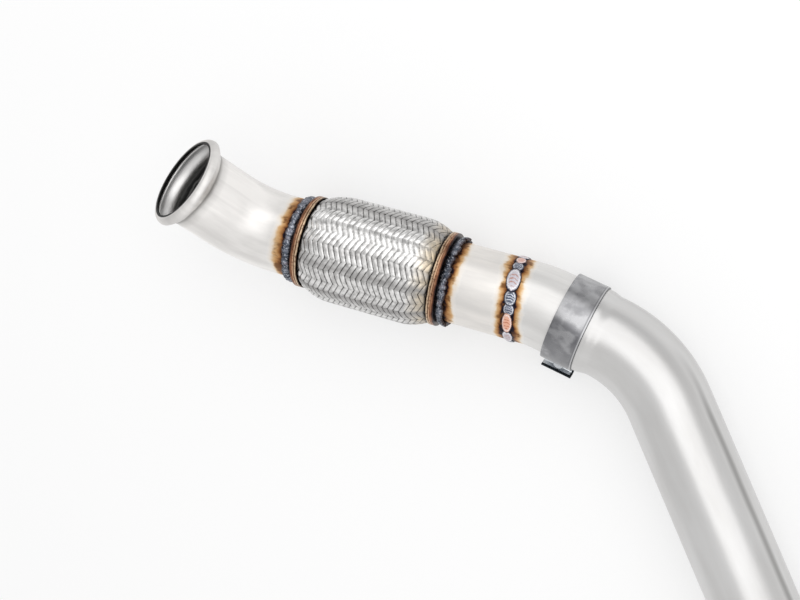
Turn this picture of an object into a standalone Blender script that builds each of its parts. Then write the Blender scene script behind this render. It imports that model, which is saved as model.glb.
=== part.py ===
"""Exhaust mid pipe: flared inlet elbow, braided flex coupling, welded stub, clamped slip joint
and a long mandrel bent outlet leg. The pipe lies as it comes to rest, on its outlet leg and
on the shoulder of the braid. Metres, +Z up."""

import math

import bmesh
import bpy
from mathutils import Matrix, Vector

MM = 0.001

# Stock and fits
TUBE_RADIUS = 38.1 * MM
TUBE_WALL = 1.65 * MM
TUBE_SIDES = 28
TOUCH_GAP = 0.3 * MM

# Route of the pipe, followed from the outlet end back to the inlet
OUTLET_LEG_LENGTH = 400.0 * MM
MAIN_BEND_RADIUS = 114.3 * MM
MAIN_BEND_ANGLE = math.radians(42.0)
JOINT_RUN_LENGTH = 54.0 * MM
EASE_BEND_RADIUS = 114.3 * MM
EASE_BEND_ANGLE = math.radians(10.0)
SEAM_FROM_BEND = 12.0 * MM
STUB_LENGTH = 62.0 * MM
FLEX_LENGTH = 152.4 * MM
ELBOW_LEAD_LENGTH = 18.8 * MM
INLET_BEND_RADIUS = 76.2 * MM
INLET_BEND_ANGLE = math.radians(49.0)
INLET_BEND_TURN = math.radians(117.0)
INLET_RUN_LENGTH = 51.4 * MM
BEND_STEP_ANGLE = math.radians(7.5)

# Flared lip of the inlet
LIP_RISE = 8.1 * MM
LIP_FACE_INSET = 4.8 * MM
LIP_MOUTH_RISE = 0.9 * MM
LIP_CROWN_SETBACK = 6.0 * MM
LIP_LENGTH = 20.5 * MM

# Slip joint
SOCKET_DEPTH = 43.0 * MM
SOCKET_FLARE_LENGTH = 5.0 * MM
SLIP_END_SETBACK = 9.0 * MM
SLOT_WIDTH = 2.5 * MM
SLOT_LENGTH = 26.0 * MM

# Seam between the stub and the slip tube, cut a little askew
SEAM_SKEW = math.tan(math.radians(5.0))
SEAM_BEAD_WIDTH = 9.5 * MM
SEAM_BEAD_HEIGHT = 1.8 * MM

# Flex coupling
COLLAR_RISE = 6.4 * MM
COLLAR_WALL = 1.5 * MM
COLLAR_CAP_LENGTH = 7.2 * MM
COLLAR_NECK_LENGTH = 4.5 * MM
COLLAR_SLEEVE_WALL = 1.2 * MM
COLLAR_SLEEVE_REACH = 3.0 * MM
COLLAR_ROUNDING = 0.6 * MM
TUBE_SEAT_DEPTH = 9.0 * MM

# Braid of flat wire bundles
BRAID_SWELL = 6.6 * MM
BRAID_ROWS = 28
BRAID_PITCH = 5.4 * MM
BRAID_RIDGE = 0.9 * MM
BRAID_WALL = 1.2 * MM
BRAID_END_WALL = 1.4 * MM
BRAID_SHOULDER_LENGTH = 28.0 * MM

# Bellows and lining inside the braid
BELLOWS_SIDES = 20
BELLOWS_FOLDS = 9
BELLOWS_FOLD_LENGTH = 10.6 * MM
BELLOWS_CREST_RISE = 8.5 * MM
BELLOWS_WALL = 0.5 * MM
LINER_INSET = 0.2 * MM
LINER_STEP = 0.7 * MM
LINER_WALL = 0.8 * MM
LINER_STEPS = 5
LINER_END_GAP = 0.6 * MM

# Fillet welds at the flex and their stop blob
FILLET_REACH = 9.3 * MM
FILLET_SHOULDER_DROP = 0.6 * MM
RIPPLE_COUNT = 28
RIPPLE_DEPTH = 0.5 * MM
BLOB_HEIGHT = 2.6 * MM
BLOB_HALF_ANGLE = math.radians(11.0)
BLOB_ANGLE = math.radians(18.0)

# Band clamp over the slip joint
BAND_WIDTH = 30.0 * MM
BAND_THICKNESS = 1.2 * MM
BAND_FROM_BEND = 13.8 * MM
BAND_GAP = 8.0 * MM
BAND_GAP_ANGLE = math.radians(-36.0)
EAR_HEIGHT = 14.0 * MM
EAR_LIP_LENGTH = 8.0 * MM
EAR_FILLET = 2.0 * MM
BAND_ARC_STEPS = 40

# Clamp bolt, an M6 with its nut and two washers
BOLT_RADIUS = 3.0 * MM
BOLT_STANDOFF = 5.7 * MM
BOLT_HEAD_HEIGHT = 4.0 * MM
BOLT_TAIL_LENGTH = 1.6 * MM
HEX_FLATS = 10.0 * MM
HEX_CHAMFER = 0.6 * MM
NUT_HEIGHT = 5.0 * MM
HOLE_RADIUS = 3.3 * MM
HOLE_SIDES = 16
WASHER_RADIUS = 5.8 * MM
WASHER_THICKNESS = 1.4 * MM

# Sizes that follow from the ones above
BORE_RADIUS = TUBE_RADIUS - TUBE_WALL
LIP_RADIUS = TUBE_RADIUS + LIP_RISE
LIP_FACE_RADIUS = LIP_RADIUS - LIP_FACE_INSET
LIP_MOUTH_RADIUS = TUBE_RADIUS + LIP_MOUTH_RISE
COLLAR_RADIUS = TUBE_RADIUS + COLLAR_RISE
BRAID_RADIUS = COLLAR_RADIUS + BRAID_SWELL
BELLOWS_CREST_RADIUS = TUBE_RADIUS + BELLOWS_CREST_RISE
LINER_RADIUS = TUBE_RADIUS - LINER_INSET
SOCKET_BORE = TUBE_RADIUS + TOUCH_GAP
SOCKET_RADIUS = SOCKET_BORE + TUBE_WALL
BAND_BORE = SOCKET_RADIUS + TOUCH_GAP
BAND_RADIUS = BAND_BORE + BAND_THICKNESS
SLEEVE_BORE = TUBE_RADIUS + TOUCH_GAP
SLEEVE_RADIUS = SLEEVE_BORE + COLLAR_SLEEVE_WALL
FLEX_HALF = FLEX_LENGTH / 2
COLLAR_FACE = FLEX_HALF - COLLAR_NECK_LENGTH
COLLAR_RIM = COLLAR_FACE - COLLAR_CAP_LENGTH
COLLAR_BORE = COLLAR_RADIUS - COLLAR_WALL
BRAID_HALF = COLLAR_FACE - COLLAR_WALL - TOUCH_GAP
BRAID_END_RADIUS = COLLAR_BORE - TOUCH_GAP
BELLOWS_NECK_BORE = SLEEVE_RADIUS / math.cos(math.pi / BELLOWS_SIDES) + 0.2 * MM
SEAM_TO_FLEX = STUB_LENGTH + FLEX_HALF

STEEL = (0.62, 0.60, 0.58)
BRONZE = (0.42, 0.24, 0.14)
WELD_GREY = (0.13, 0.14, 0.17)
WELD_PALE = (0.45, 0.36, 0.33)
BAND_GREY = (0.45, 0.45, 0.46)
WIRE = (0.60, 0.58, 0.55)


def advance(frame, length):
    """Move a frame along its own Z axis, the pipe's axis."""
    return frame @ Matrix.Translation((0, 0, length))


def swing(frame, radius, angle):
    """Carry a frame round a bend whose centre lies at radius along its own X axis."""
    to_centre = Matrix.Translation((radius, 0, 0))
    return frame @ to_centre @ Matrix.Rotation(angle, 4, "Y") @ to_centre.inverted()


def bend_stations(frame, radius, angle):
    """Frames at even steps round a bend, the far end included and the near end not."""
    steps = max(2, round(angle / BEND_STEP_ANGLE))
    return [swing(frame, radius, angle * step / steps) for step in range(1, steps + 1)]


def braid_radius(height):
    """Crest radius of the braid at a height from the middle of the flex coupling."""
    inset = (COLLAR_RIM - abs(height)) / BRAID_SHOULDER_LENGTH
    inset = min(max(inset, 0.0), 1.0)
    rise = BRAID_RADIUS - BRAID_END_RADIUS
    return BRAID_END_RADIUS + rise * (1 - (1 - inset) ** 2)


def route(lean):
    """Frames of the pipe's joints, with the bend's plane leaned up from the floor by an angle."""
    sideways = Vector((-math.cos(lean), 0, math.sin(lean)))
    along = Vector((0, 1, 0))
    outlet = Matrix((sideways, along.cross(sideways), along)).transposed().to_4x4()
    outlet.translation = (0, 0, TUBE_RADIUS)
    frames = {"outlet": outlet}
    frames["main_bend"] = advance(outlet, OUTLET_LEG_LENGTH)
    frames["joint"] = swing(frames["main_bend"], MAIN_BEND_RADIUS, MAIN_BEND_ANGLE)
    frames["ease_bend"] = advance(frames["joint"], JOINT_RUN_LENGTH)
    frames["main_run"] = swing(frames["ease_bend"], EASE_BEND_RADIUS, EASE_BEND_ANGLE)
    frames["seam"] = advance(frames["main_run"], SEAM_FROM_BEND)
    frames["flex"] = advance(frames["seam"], SEAM_TO_FLEX)
    lead_end = advance(frames["flex"], FLEX_HALF + ELBOW_LEAD_LENGTH)
    frames["inlet_bend"] = lead_end @ Matrix.Rotation(INLET_BEND_TURN, 4, "Z")
    frames["inlet_run"] = swing(frames["inlet_bend"], INLET_BEND_RADIUS, INLET_BEND_ANGLE)
    frames["inlet"] = advance(frames["inlet_run"], INLET_RUN_LENGTH)
    return frames


def braid_clearance(lean):
    """Height of the braid's lowest point over the floor for a given lean."""
    flex = route(lean)["flex"]
    slope = math.hypot(flex.col[2].x, flex.col[2].y)
    heights = [COLLAR_RIM * step / 60 for step in range(-60, 61)]
    return min(advance(flex, height).translation.z - braid_radius(height) * slope for height in heights)


def resting_lean():
    """Lean at which the outlet leg lies flat and the braid's shoulder just touches the floor."""
    low, high = 0.0, math.radians(30.0)
    for _ in range(40):
        middle = (low + high) / 2
        if braid_clearance(middle) < 0:
            low = middle
        else:
            high = middle
    return high


def material_for(name, colour, roughness, metallic=1.0):
    """Plain surface of one sub-part."""
    material = bpy.data.materials.new(name)
    material.use_nodes = True
    shader = material.node_tree.nodes["Principled BSDF"]
    shader.inputs["Base Color"].default_value = (*colour, 1.0)
    shader.inputs["Roughness"].default_value = roughness
    shader.inputs["Metallic"].default_value = metallic
    return material


def finish_piece(name, bm, frame, colour, roughness, smooth_angle=30.0):
    """Close a piece's mesh, shade it, give it its material and stand it in its frame."""
    bmesh.ops.recalc_face_normals(bm, faces=bm.faces[:])
    mesh = bpy.data.meshes.new(name)
    bm.to_mesh(mesh)
    bm.free()
    mesh.shade_smooth()
    mesh.set_sharp_from_angle(angle=math.radians(smooth_angle))
    piece = bpy.data.objects.new(name, mesh)
    bpy.context.collection.objects.link(piece)
    piece.matrix_world = frame
    mesh.materials.append(material_for(name, colour, roughness))
    return piece


def turned_mesh(profile, sides):
    """Turn a closed profile of (radius, height) points once round the Z axis."""
    bm = bmesh.new()
    points = [bm.verts.new((radius, 0, height)) for radius, height in profile]
    edges = [bm.edges.new(pair) for pair in zip(points, points[1:] + points[:1])]
    bmesh.ops.spin(bm, geom=points + edges, cent=(0, 0, 0), axis=(0, 0, 1), angle=math.tau,
                   steps=sides, use_merge=True)
    bmesh.ops.remove_doubles(bm, verts=bm.verts[:], dist=0.0001 * MM)
    return bm


def swept_mesh(stations):
    """Skin a closed round of (frame, radius) stations: up the outside and back down the bore."""
    bm = bmesh.new()
    rings = [bmesh.ops.create_circle(bm, segments=TUBE_SIDES, radius=radius, matrix=frame)["verts"]
             for frame, radius in stations]
    for ring, following in zip(rings, rings[1:] + rings[:1]):
        for side in range(TUBE_SIDES):
            bm.faces.new((ring[side - 1], ring[side], following[side], following[side - 1]))
    return bm


def tube_wall(outside, wall=TUBE_WALL):
    """Stations of a tube's whole skin, from those of its outside."""
    inside = [(frame, radius - wall) for frame, radius in outside]
    return outside + inside[::-1]


def cylinder_cutter(name, radius, depth, frame):
    """Hidden cylinder that cuts a hole, centred on its frame."""
    bm = bmesh.new()
    bmesh.ops.create_cone(bm, cap_ends=True, segments=HOLE_SIDES, radius1=radius, radius2=radius, depth=depth)
    return hidden_cutter(name, bm, frame)


def box_cutter(name, size, frame):
    """Hidden box that cuts a slot, centred on its frame."""
    bm = bmesh.new()
    bmesh.ops.create_cube(bm, size=1.0, matrix=Matrix.Diagonal((*size, 1.0)))
    return hidden_cutter(name, bm, frame)


def hidden_cutter(name, bm, frame):
    """Cutter object that the finished part doesn't hold."""
    mesh = bpy.data.meshes.new(name)
    bm.to_mesh(mesh)
    bm.free()
    cutter = bpy.data.objects.new(name, mesh)
    bpy.context.collection.objects.link(cutter)
    cutter.matrix_world = frame
    cutter.hide_render = True
    cutter.display_type = "WIRE"
    return cutter


def cut(piece, cutter):
    """Take a cutter's shape out of a piece."""
    modifier = piece.modifiers.new(cutter.name, "BOOLEAN")
    modifier.operation = "DIFFERENCE"
    modifier.object = cutter


def build_inlet_elbow(frames):
    """Inlet elbow, whose mouth is rolled out into a hollow lip with a flat sealing face."""
    seat = advance(frames["flex"], FLEX_HALF - TUBE_SEAT_DEPTH)
    mouth = frames["inlet"]
    turned_seat = seat @ Matrix.Rotation(INLET_BEND_TURN, 4, "Z")
    outside = [(turned_seat, TUBE_RADIUS), (frames["inlet_bend"], TUBE_RADIUS)]
    outside += [(frame, TUBE_RADIUS)
                for frame in bend_stations(frames["inlet_bend"], INLET_BEND_RADIUS, INLET_BEND_ANGLE)]
    lip_profile = lip_outline()
    outside += [(advance(mouth, -setback), radius) for setback, radius in lip_profile]
    inside = [(frame, BORE_RADIUS) for frame, radius in outside[:-len(lip_profile)]]
    inside += [(advance(mouth, -setback), radius) for setback, radius in inset_outline(lip_profile, TUBE_WALL)]
    return finish_piece("inlet_elbow", swept_mesh(outside + inside[::-1]), Matrix(), STEEL, 0.25, 40.0)


def lip_outline():
    """Outside of the flared lip as (setback from the mouth, radius), root to face."""
    rise = LIP_RADIUS - TUBE_RADIUS
    slope_length = LIP_LENGTH - LIP_CROWN_SETBACK
    outline = [(LIP_LENGTH - slope_length * share, TUBE_RADIUS + rise * (3 - 2 * share) * share ** 2)
               for share in (0.0, 0.3, 0.55, 0.8, 1.0)]
    crown_width = LIP_RADIUS - LIP_FACE_RADIUS
    for angle in (30.0, 60.0, 90.0):
        turn = math.radians(angle)
        outline.append((LIP_CROWN_SETBACK * (1 - math.sin(turn)), LIP_FACE_RADIUS + crown_width * math.cos(turn)))
    outline.append((0.0, LIP_MOUTH_RADIUS))
    return outline


def inset_outline(outline, wall):
    """An outline moved in by the wall, each point square to the line through its neighbours."""
    inner = []
    for before, point, after in zip(outline[:1] + outline, outline, outline[1:] + outline[-1:]):
        along = Vector(after) - Vector(before)
        inner.append(tuple(Vector(point) + Vector((-along.y, along.x)).normalized() * wall))
    return inner


def build_mid_pipe(frames):
    """Outlet leg and main bend in one tube, swaged out at its end into a slotted socket."""
    outside = [(frames["outlet"], TUBE_RADIUS), (frames["main_bend"], TUBE_RADIUS)]
    outside += [(frame, TUBE_RADIUS)
                for frame in bend_stations(frames["main_bend"], MAIN_BEND_RADIUS, MAIN_BEND_ANGLE)]
    outside.append((advance(frames["joint"], SOCKET_FLARE_LENGTH), SOCKET_RADIUS))
    outside.append((advance(frames["joint"], SOCKET_DEPTH), SOCKET_RADIUS))
    pipe = finish_piece("mid_pipe", swept_mesh(tube_wall(outside)), Matrix(), STEEL, 0.25, 40.0)
    slot_centre = advance(frames["joint"], SOCKET_DEPTH - SLOT_LENGTH / 2 + SLOT_WIDTH)
    slot_size = (3 * SOCKET_RADIUS, SLOT_WIDTH, SLOT_LENGTH + 2 * SLOT_WIDTH)
    for index in range(2):
        turn = Matrix.Rotation(math.radians(45.0 + 90.0 * index), 4, "Z")
        cut(pipe, box_cutter(f"socket_slot_cutter_{index + 1}", slot_size, slot_centre @ turn))
    return pipe


def build_slip_tube(frames):
    """Eased tube from the seam to the plain end that slides into the socket."""
    seam = frames["seam"] @ skew()
    outside = [(advance(frames["joint"], SLIP_END_SETBACK), TUBE_RADIUS), (frames["ease_bend"], TUBE_RADIUS)]
    outside += [(frame, TUBE_RADIUS)
                for frame in bend_stations(frames["ease_bend"], EASE_BEND_RADIUS, EASE_BEND_ANGLE)]
    outside.append((Matrix.Translation(seam.col[2].xyz * -TOUCH_GAP / 2) @ seam, TUBE_RADIUS))
    return finish_piece("slip_tube", swept_mesh(tube_wall(outside)), Matrix(), STEEL, 0.25, 40.0)


def build_outlet_stub(frames):
    """Short straight tube from the flex coupling's sleeve to the seam."""
    seam = frames["seam"] @ skew()
    outside = [(Matrix.Translation(seam.col[2].xyz * TOUCH_GAP / 2) @ seam, TUBE_RADIUS),
               (advance(frames["flex"], TUBE_SEAT_DEPTH - FLEX_HALF), TUBE_RADIUS)]
    return finish_piece("outlet_stub", swept_mesh(tube_wall(outside)), Matrix(), STEEL, 0.25, 40.0)


def skew():
    """Shear that cuts a tube's end askew in the plane of the bends."""
    shear = Matrix.Identity(4)
    shear[2][0] = -SEAM_SKEW
    return shear


def ripple_bead(bm, inner_radius, count, depth, blob_height=0.0):
    """Raise a weld's overlapping ripples, and a blob where the arc stopped."""
    for vert in bm.verts:
        radius = math.hypot(vert.co.x, vert.co.y)
        proud = radius - inner_radius
        if proud < 3 * TOUCH_GAP:
            continue
        angle = math.atan2(vert.co.y, vert.co.x)
        swell = depth * (abs(math.sin(angle * count / 2)) - 0.5)
        blob = blob_height * math.exp(-(((angle - BLOB_ANGLE) / BLOB_HALF_ANGLE) ** 2))
        grown = radius + swell + blob
        vert.co.x *= grown / radius
        vert.co.y *= grown / radius


def build_fillet_weld(name, flex, side, blob_height):
    """Fillet weld from a collar's end wall down to the tube, on one side of the flex coupling."""
    inner = SLEEVE_BORE
    step = SLEEVE_RADIUS + TOUCH_GAP
    face = COLLAR_FACE + TOUCH_GAP
    neck_end = FLEX_HALF + TOUCH_GAP
    top = COLLAR_RADIUS - FILLET_SHOULDER_DROP
    foot = COLLAR_FACE + FILLET_REACH
    profile = [(step, face), (step, neck_end), (inner, neck_end), (inner, foot)]
    for share in (0.25, 0.55, 0.85):
        turn = math.radians(90.0) * share
        profile.append((inner + (top - inner) * math.sin(turn), face + (foot - face) * math.cos(turn) ** 0.8))
    profile.append((top, face))
    bm = turned_mesh([(radius, height * side) for radius, height in profile], 2 * TUBE_SIDES)
    ripple_bead(bm, step, RIPPLE_COUNT, RIPPLE_DEPTH, blob_height)
    return finish_piece(name, bm, flex, WELD_GREY, 0.45, 50.0)


def build_seam_weld(frames):
    """Low ridge of overlapping weld coins round the seam."""
    inner = SOCKET_BORE
    half = SEAM_BEAD_WIDTH / 2
    profile = [(inner, -half), (inner, half)]
    for share in (0.75, 0.35, -0.35, -0.75):
        profile.append((inner + SEAM_BEAD_HEIGHT * math.sqrt(1 - share ** 2) * 1.05, half * share))
    bm = turned_mesh(profile, 2 * TUBE_SIDES)
    ripple_bead(bm, inner, RIPPLE_COUNT, RIPPLE_DEPTH)
    return finish_piece("seam_weld", bm, frames["seam"] @ skew(), WELD_PALE, 0.4, 50.0)


def build_collar(name, flex, side):
    """End collar: a channel that grips the braid and the bellows, with a neck for the weld."""
    profile = [
        (COLLAR_BORE, COLLAR_RIM),
        (COLLAR_RADIUS - COLLAR_ROUNDING, COLLAR_RIM),
        (COLLAR_RADIUS, COLLAR_RIM + COLLAR_ROUNDING),
        (COLLAR_RADIUS, COLLAR_FACE - COLLAR_ROUNDING),
        (COLLAR_RADIUS - COLLAR_ROUNDING, COLLAR_FACE),
        (SLEEVE_RADIUS, COLLAR_FACE),
        (SLEEVE_RADIUS, FLEX_HALF),
        (SLEEVE_BORE, FLEX_HALF),
        (SLEEVE_BORE, COLLAR_RIM - COLLAR_SLEEVE_REACH),
        (SLEEVE_RADIUS, COLLAR_RIM - COLLAR_SLEEVE_REACH),
        (SLEEVE_RADIUS, COLLAR_FACE - COLLAR_WALL),
        (COLLAR_BORE, COLLAR_FACE - COLLAR_WALL),
    ]
    bm = turned_mesh([(radius, height * side) for radius, height in profile], TUBE_SIDES)
    return finish_piece(name, bm, flex, BRONZE, 0.35)


def build_braid(flex):
    """Woven sleeve: ridges that lean one way in one row and the other way in the next."""
    picks = round(2 * COLLAR_RIM / BRAID_PITCH)
    pitch = 2 * COLLAR_RIM / picks
    outer = [(BRAID_END_RADIUS, -BRAID_HALF)]
    for pick in range(picks):
        start = -COLLAR_RIM + pick * pitch
        for share, sunk in ((0.0, 1.0), (0.5, 0.0)):
            height = start + share * pitch
            outer.append((braid_radius(height) - sunk * BRAID_RIDGE, height))
    outer += [(BRAID_END_RADIUS - BRAID_RIDGE, COLLAR_RIM), (BRAID_END_RADIUS, BRAID_HALF)]
    end_bore = BRAID_END_RADIUS - BRAID_END_WALL
    inner = [(end_bore, BRAID_HALF), (end_bore, COLLAR_RIM)]
    for step in range(3, -4, -1):
        height = COLLAR_RIM * step / 4
        inner.append((braid_radius(height) - BRAID_RIDGE - BRAID_WALL, height))
    inner += [(end_bore, -COLLAR_RIM), (end_bore, -BRAID_HALF)]
    bm = turned_mesh(outer + inner, BRAID_ROWS)
    lean_ridges(bm, pitch)
    return finish_piece("flex_braid", bm, flex, WIRE, 0.35, 20.0)


def lean_ridges(bm, pitch):
    """Shift every other row line of the braid's outside along, so that its ridges run zigzag."""
    for vert in bm.verts:
        height = vert.co.z
        radius = math.hypot(vert.co.x, vert.co.y)
        if abs(height) >= COLLAR_RIM or radius < braid_radius(height) - 1.5 * BRAID_RIDGE:
            continue
        row = round(math.atan2(vert.co.y, vert.co.x) / (math.tau / BRAID_ROWS))
        fade = min(1.0, (COLLAR_RIM - abs(height)) / (2 * pitch))
        shift = (0.5 if row % 2 else -0.5) * pitch * fade
        vert.co.z += shift
        settled = radius + braid_radius(height + shift) - braid_radius(height)
        vert.co.x *= settled / radius
        vert.co.y *= settled / radius


def build_bellows(flex):
    """Thin folded tube that seals the coupling and lets it bend."""
    root = BELLOWS_NECK_BORE + BELLOWS_WALL
    crest = BELLOWS_CREST_RADIUS
    start = -BELLOWS_FOLDS * BELLOWS_FOLD_LENGTH / 2
    outer = [(root, -BRAID_HALF)]
    inner = [(root - BELLOWS_WALL, -BRAID_HALF)]
    for fold in range(BELLOWS_FOLDS):
        base = start + fold * BELLOWS_FOLD_LENGTH
        for share, inner_share, radius in ((0.0, 0.0, root), (0.2, 0.25, crest), (0.8, 0.75, crest)):
            outer.append((radius, base + share * BELLOWS_FOLD_LENGTH))
            inner.append((radius - BELLOWS_WALL, base + inner_share * BELLOWS_FOLD_LENGTH))
    outer.append((root, -start))
    inner.append((root - BELLOWS_WALL, -start))
    outer.append((root, BRAID_HALF))
    inner.append((root - BELLOWS_WALL, BRAID_HALF))
    bm = turned_mesh(outer + inner[::-1], BELLOWS_SIDES)
    return finish_piece("flex_bellows", bm, flex, STEEL, 0.3)


def build_liner(flex):
    """Interlocked lining hose between the two tube ends, stepped where its turns hook together."""
    half = FLEX_HALF - TUBE_SEAT_DEPTH - LINER_END_GAP
    pitch = 2 * half / (2 * LINER_STEPS + 1)
    outer = []
    for step in range(2 * LINER_STEPS + 1):
        radius = LINER_RADIUS - (LINER_STEP if step % 2 else 0.0)
        outer.append((radius, -half + step * pitch))
        outer.append((radius, -half + (step + 1) * pitch - 0.1 * MM))
    outer[-1] = (LINER_RADIUS, half)
    inner = [(radius - LINER_WALL, height) for radius, height in outer]
    bm = turned_mesh(outer + inner[::-1], BELLOWS_SIDES)
    return finish_piece("flex_liner", bm, flex, STEEL, 0.35)


def filleted(points, radius, steps=3):
    """Round the corners between a path's end points, each by an arc of one radius."""
    path = [points[0]]
    for before, corner, after in zip(points, points[1:], points[2:]):
        toward = (before - corner).normalized()
        away = (after - corner).normalized()
        half_angle = toward.angle(away) / 2
        setback = radius / math.tan(half_angle)
        centre = corner + (toward + away).normalized() * (radius / math.sin(half_angle))
        start = corner + toward * setback - centre
        end = corner + away * setback - centre
        for step in range(steps + 1):
            share = step / steps
            path.append(centre + (start * (1 - share) + end * share).normalized() * radius)
    path.append(points[-1])
    return path


def band_path():
    """Middle line of the band: out along one ear, round the pipe and out along the other ear."""
    middle = BAND_BORE + BAND_THICKNESS / 2
    offset = (BAND_GAP + BAND_THICKNESS) / 2
    root = math.asin(offset / middle)
    tip = BAND_RADIUS + EAR_HEIGHT - BAND_THICKNESS / 2
    root_point = Vector((middle * math.cos(root), offset))
    tangent = Vector((middle * math.cos(root + 0.12), middle * math.sin(root + 0.12)))
    ear = [Vector((tip, offset + EAR_LIP_LENGTH)), Vector((tip, offset)), root_point, tangent]
    near = filleted(ear, EAR_FILLET)
    arc_start = root + 0.12
    arc_end = math.tau - arc_start
    arc = [arc_start + (arc_end - arc_start) * step / BAND_ARC_STEPS for step in range(1, BAND_ARC_STEPS)]
    far = [Vector((point.x, -point.y)) for point in reversed(near)]
    return near + [Vector((middle * math.cos(turn), middle * math.sin(turn))) for turn in arc] + far


def build_clamp_band(clamp):
    """Flat band bent round the socket, with two ears whose tips are turned outward."""
    bm = bmesh.new()
    path = [bm.verts.new((point.x, point.y, -BAND_WIDTH / 2)) for point in band_path()]
    edges = [bm.edges.new(pair) for pair in zip(path, path[1:])]
    swept = bmesh.ops.extrude_edge_only(bm, edges=edges)["geom"]
    moved = [item for item in swept if isinstance(item, bmesh.types.BMVert)]
    bmesh.ops.translate(bm, verts=moved, vec=(0, 0, BAND_WIDTH))
    band = finish_piece("clamp_band", bm, clamp, BAND_GREY, 0.35, 35.0)
    solidify = band.modifiers.new("thickness", "SOLIDIFY")
    solidify.thickness = BAND_THICKNESS
    solidify.offset = 0.0
    solidify.use_even_offset = True
    hole = cylinder_cutter("ear_hole_cutter", HOLE_RADIUS, 2 * BAND_GAP, bolt_frame(clamp))
    cut(band, hole)
    return band


def bolt_frame(clamp):
    """Frame midway between the ears, its Z axis along the bolt from head to nut."""
    centre = clamp @ Matrix.Translation((BAND_RADIUS + BOLT_STANDOFF, 0, 0))
    return centre @ Matrix.Rotation(math.radians(90.0), 4, "X")


def hex_ring(bm, height):
    """Twelve points round a hexagon: its corners and the middles of its flats."""
    flat = HEX_FLATS / 2
    return ring_of(bm, height, [flat if index % 2 else flat / math.cos(math.pi / 6) for index in range(12)])


def round_ring(bm, height, radius):
    """Twelve points round a circle, in step with those of the hexagon."""
    return ring_of(bm, height, [radius] * 12)


def ring_of(bm, height, radii):
    """Points at even angles round the Z axis, each at its own radius."""
    turns = [math.tau * index / len(radii) for index in range(len(radii))]
    return [bm.verts.new((radius * math.cos(turn), radius * math.sin(turn), height))
            for radius, turn in zip(radii, turns)]


def skin_rings(bm, rings):
    """Join each ring of points to the next one by a band of faces."""
    for ring, following in zip(rings, rings[1:]):
        for side in range(len(ring)):
            bm.faces.new((ring[side - 1], ring[side], following[side], following[side - 1]))


def build_clamp_bolt(clamp):
    """Hexagon head bolt through both ears, from the upper one to the lower one."""
    seat = ear_face() + WASHER_THICKNESS + 2 * TOUCH_GAP
    tail = seat + TOUCH_GAP + NUT_HEIGHT + BOLT_TAIL_LENGTH
    shank = BOLT_RADIUS - TOUCH_GAP / 2
    bm = bmesh.new()
    rings = [
        round_ring(bm, -seat - BOLT_HEAD_HEIGHT, HEX_FLATS / 2 - HEX_CHAMFER / 2),
        hex_ring(bm, -seat - BOLT_HEAD_HEIGHT + HEX_CHAMFER),
        hex_ring(bm, -seat),
        round_ring(bm, -seat, shank),
        round_ring(bm, tail - HEX_CHAMFER, shank),
        round_ring(bm, tail, shank - HEX_CHAMFER),
    ]
    skin_rings(bm, rings)
    bm.faces.new(rings[0])
    bm.faces.new(rings[-1])
    return finish_piece("clamp_bolt", bm, bolt_frame(clamp), STEEL, 0.3)


def build_clamp_nut(clamp):
    """Hexagon nut on the lower ear."""
    near = ear_face() + WASHER_THICKNESS + 2 * TOUCH_GAP
    far = near + NUT_HEIGHT
    bore = BOLT_RADIUS + TOUCH_GAP / 2
    bm = bmesh.new()
    rings = [
        round_ring(bm, near, bore),
        hex_ring(bm, near),
        hex_ring(bm, far - HEX_CHAMFER),
        round_ring(bm, far, HEX_FLATS / 2 - HEX_CHAMFER / 2),
        round_ring(bm, far, bore),
    ]
    skin_rings(bm, rings + rings[:1])
    return finish_piece("clamp_nut", bm, bolt_frame(clamp), STEEL, 0.3)


def build_clamp_washer(name, clamp, side):
    """Flat washer on the outer face of one ear."""
    near = side * (ear_face() + TOUCH_GAP)
    far = near + side * WASHER_THICKNESS
    profile = [(HOLE_RADIUS, near), (WASHER_RADIUS, near), (WASHER_RADIUS, far), (HOLE_RADIUS, far)]
    return finish_piece(name, turned_mesh(profile, HOLE_SIDES), bolt_frame(clamp), STEEL, 0.3)


def ear_face():
    """Distance of an ear's outer face from the middle of the gap."""
    return BAND_GAP / 2 + BAND_THICKNESS


def lowest_and_middle(pieces):
    """Middle of the part's box in plan and its lowest height, as the evaluated meshes have them."""
    bpy.context.view_layer.update()
    graph = bpy.context.evaluated_depsgraph_get()
    corners = []
    for piece in pieces:
        evaluated = piece.evaluated_get(graph)
        corners += [piece.matrix_world @ vert.co for vert in evaluated.data.vertices]
    lows = [min(corner[axis] for corner in corners) for axis in range(3)]
    highs = [max(corner[axis] for corner in corners) for axis in range(3)]
    return Vector(((lows[0] + highs[0]) / 2, (lows[1] + highs[1]) / 2, lows[2]))


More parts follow.
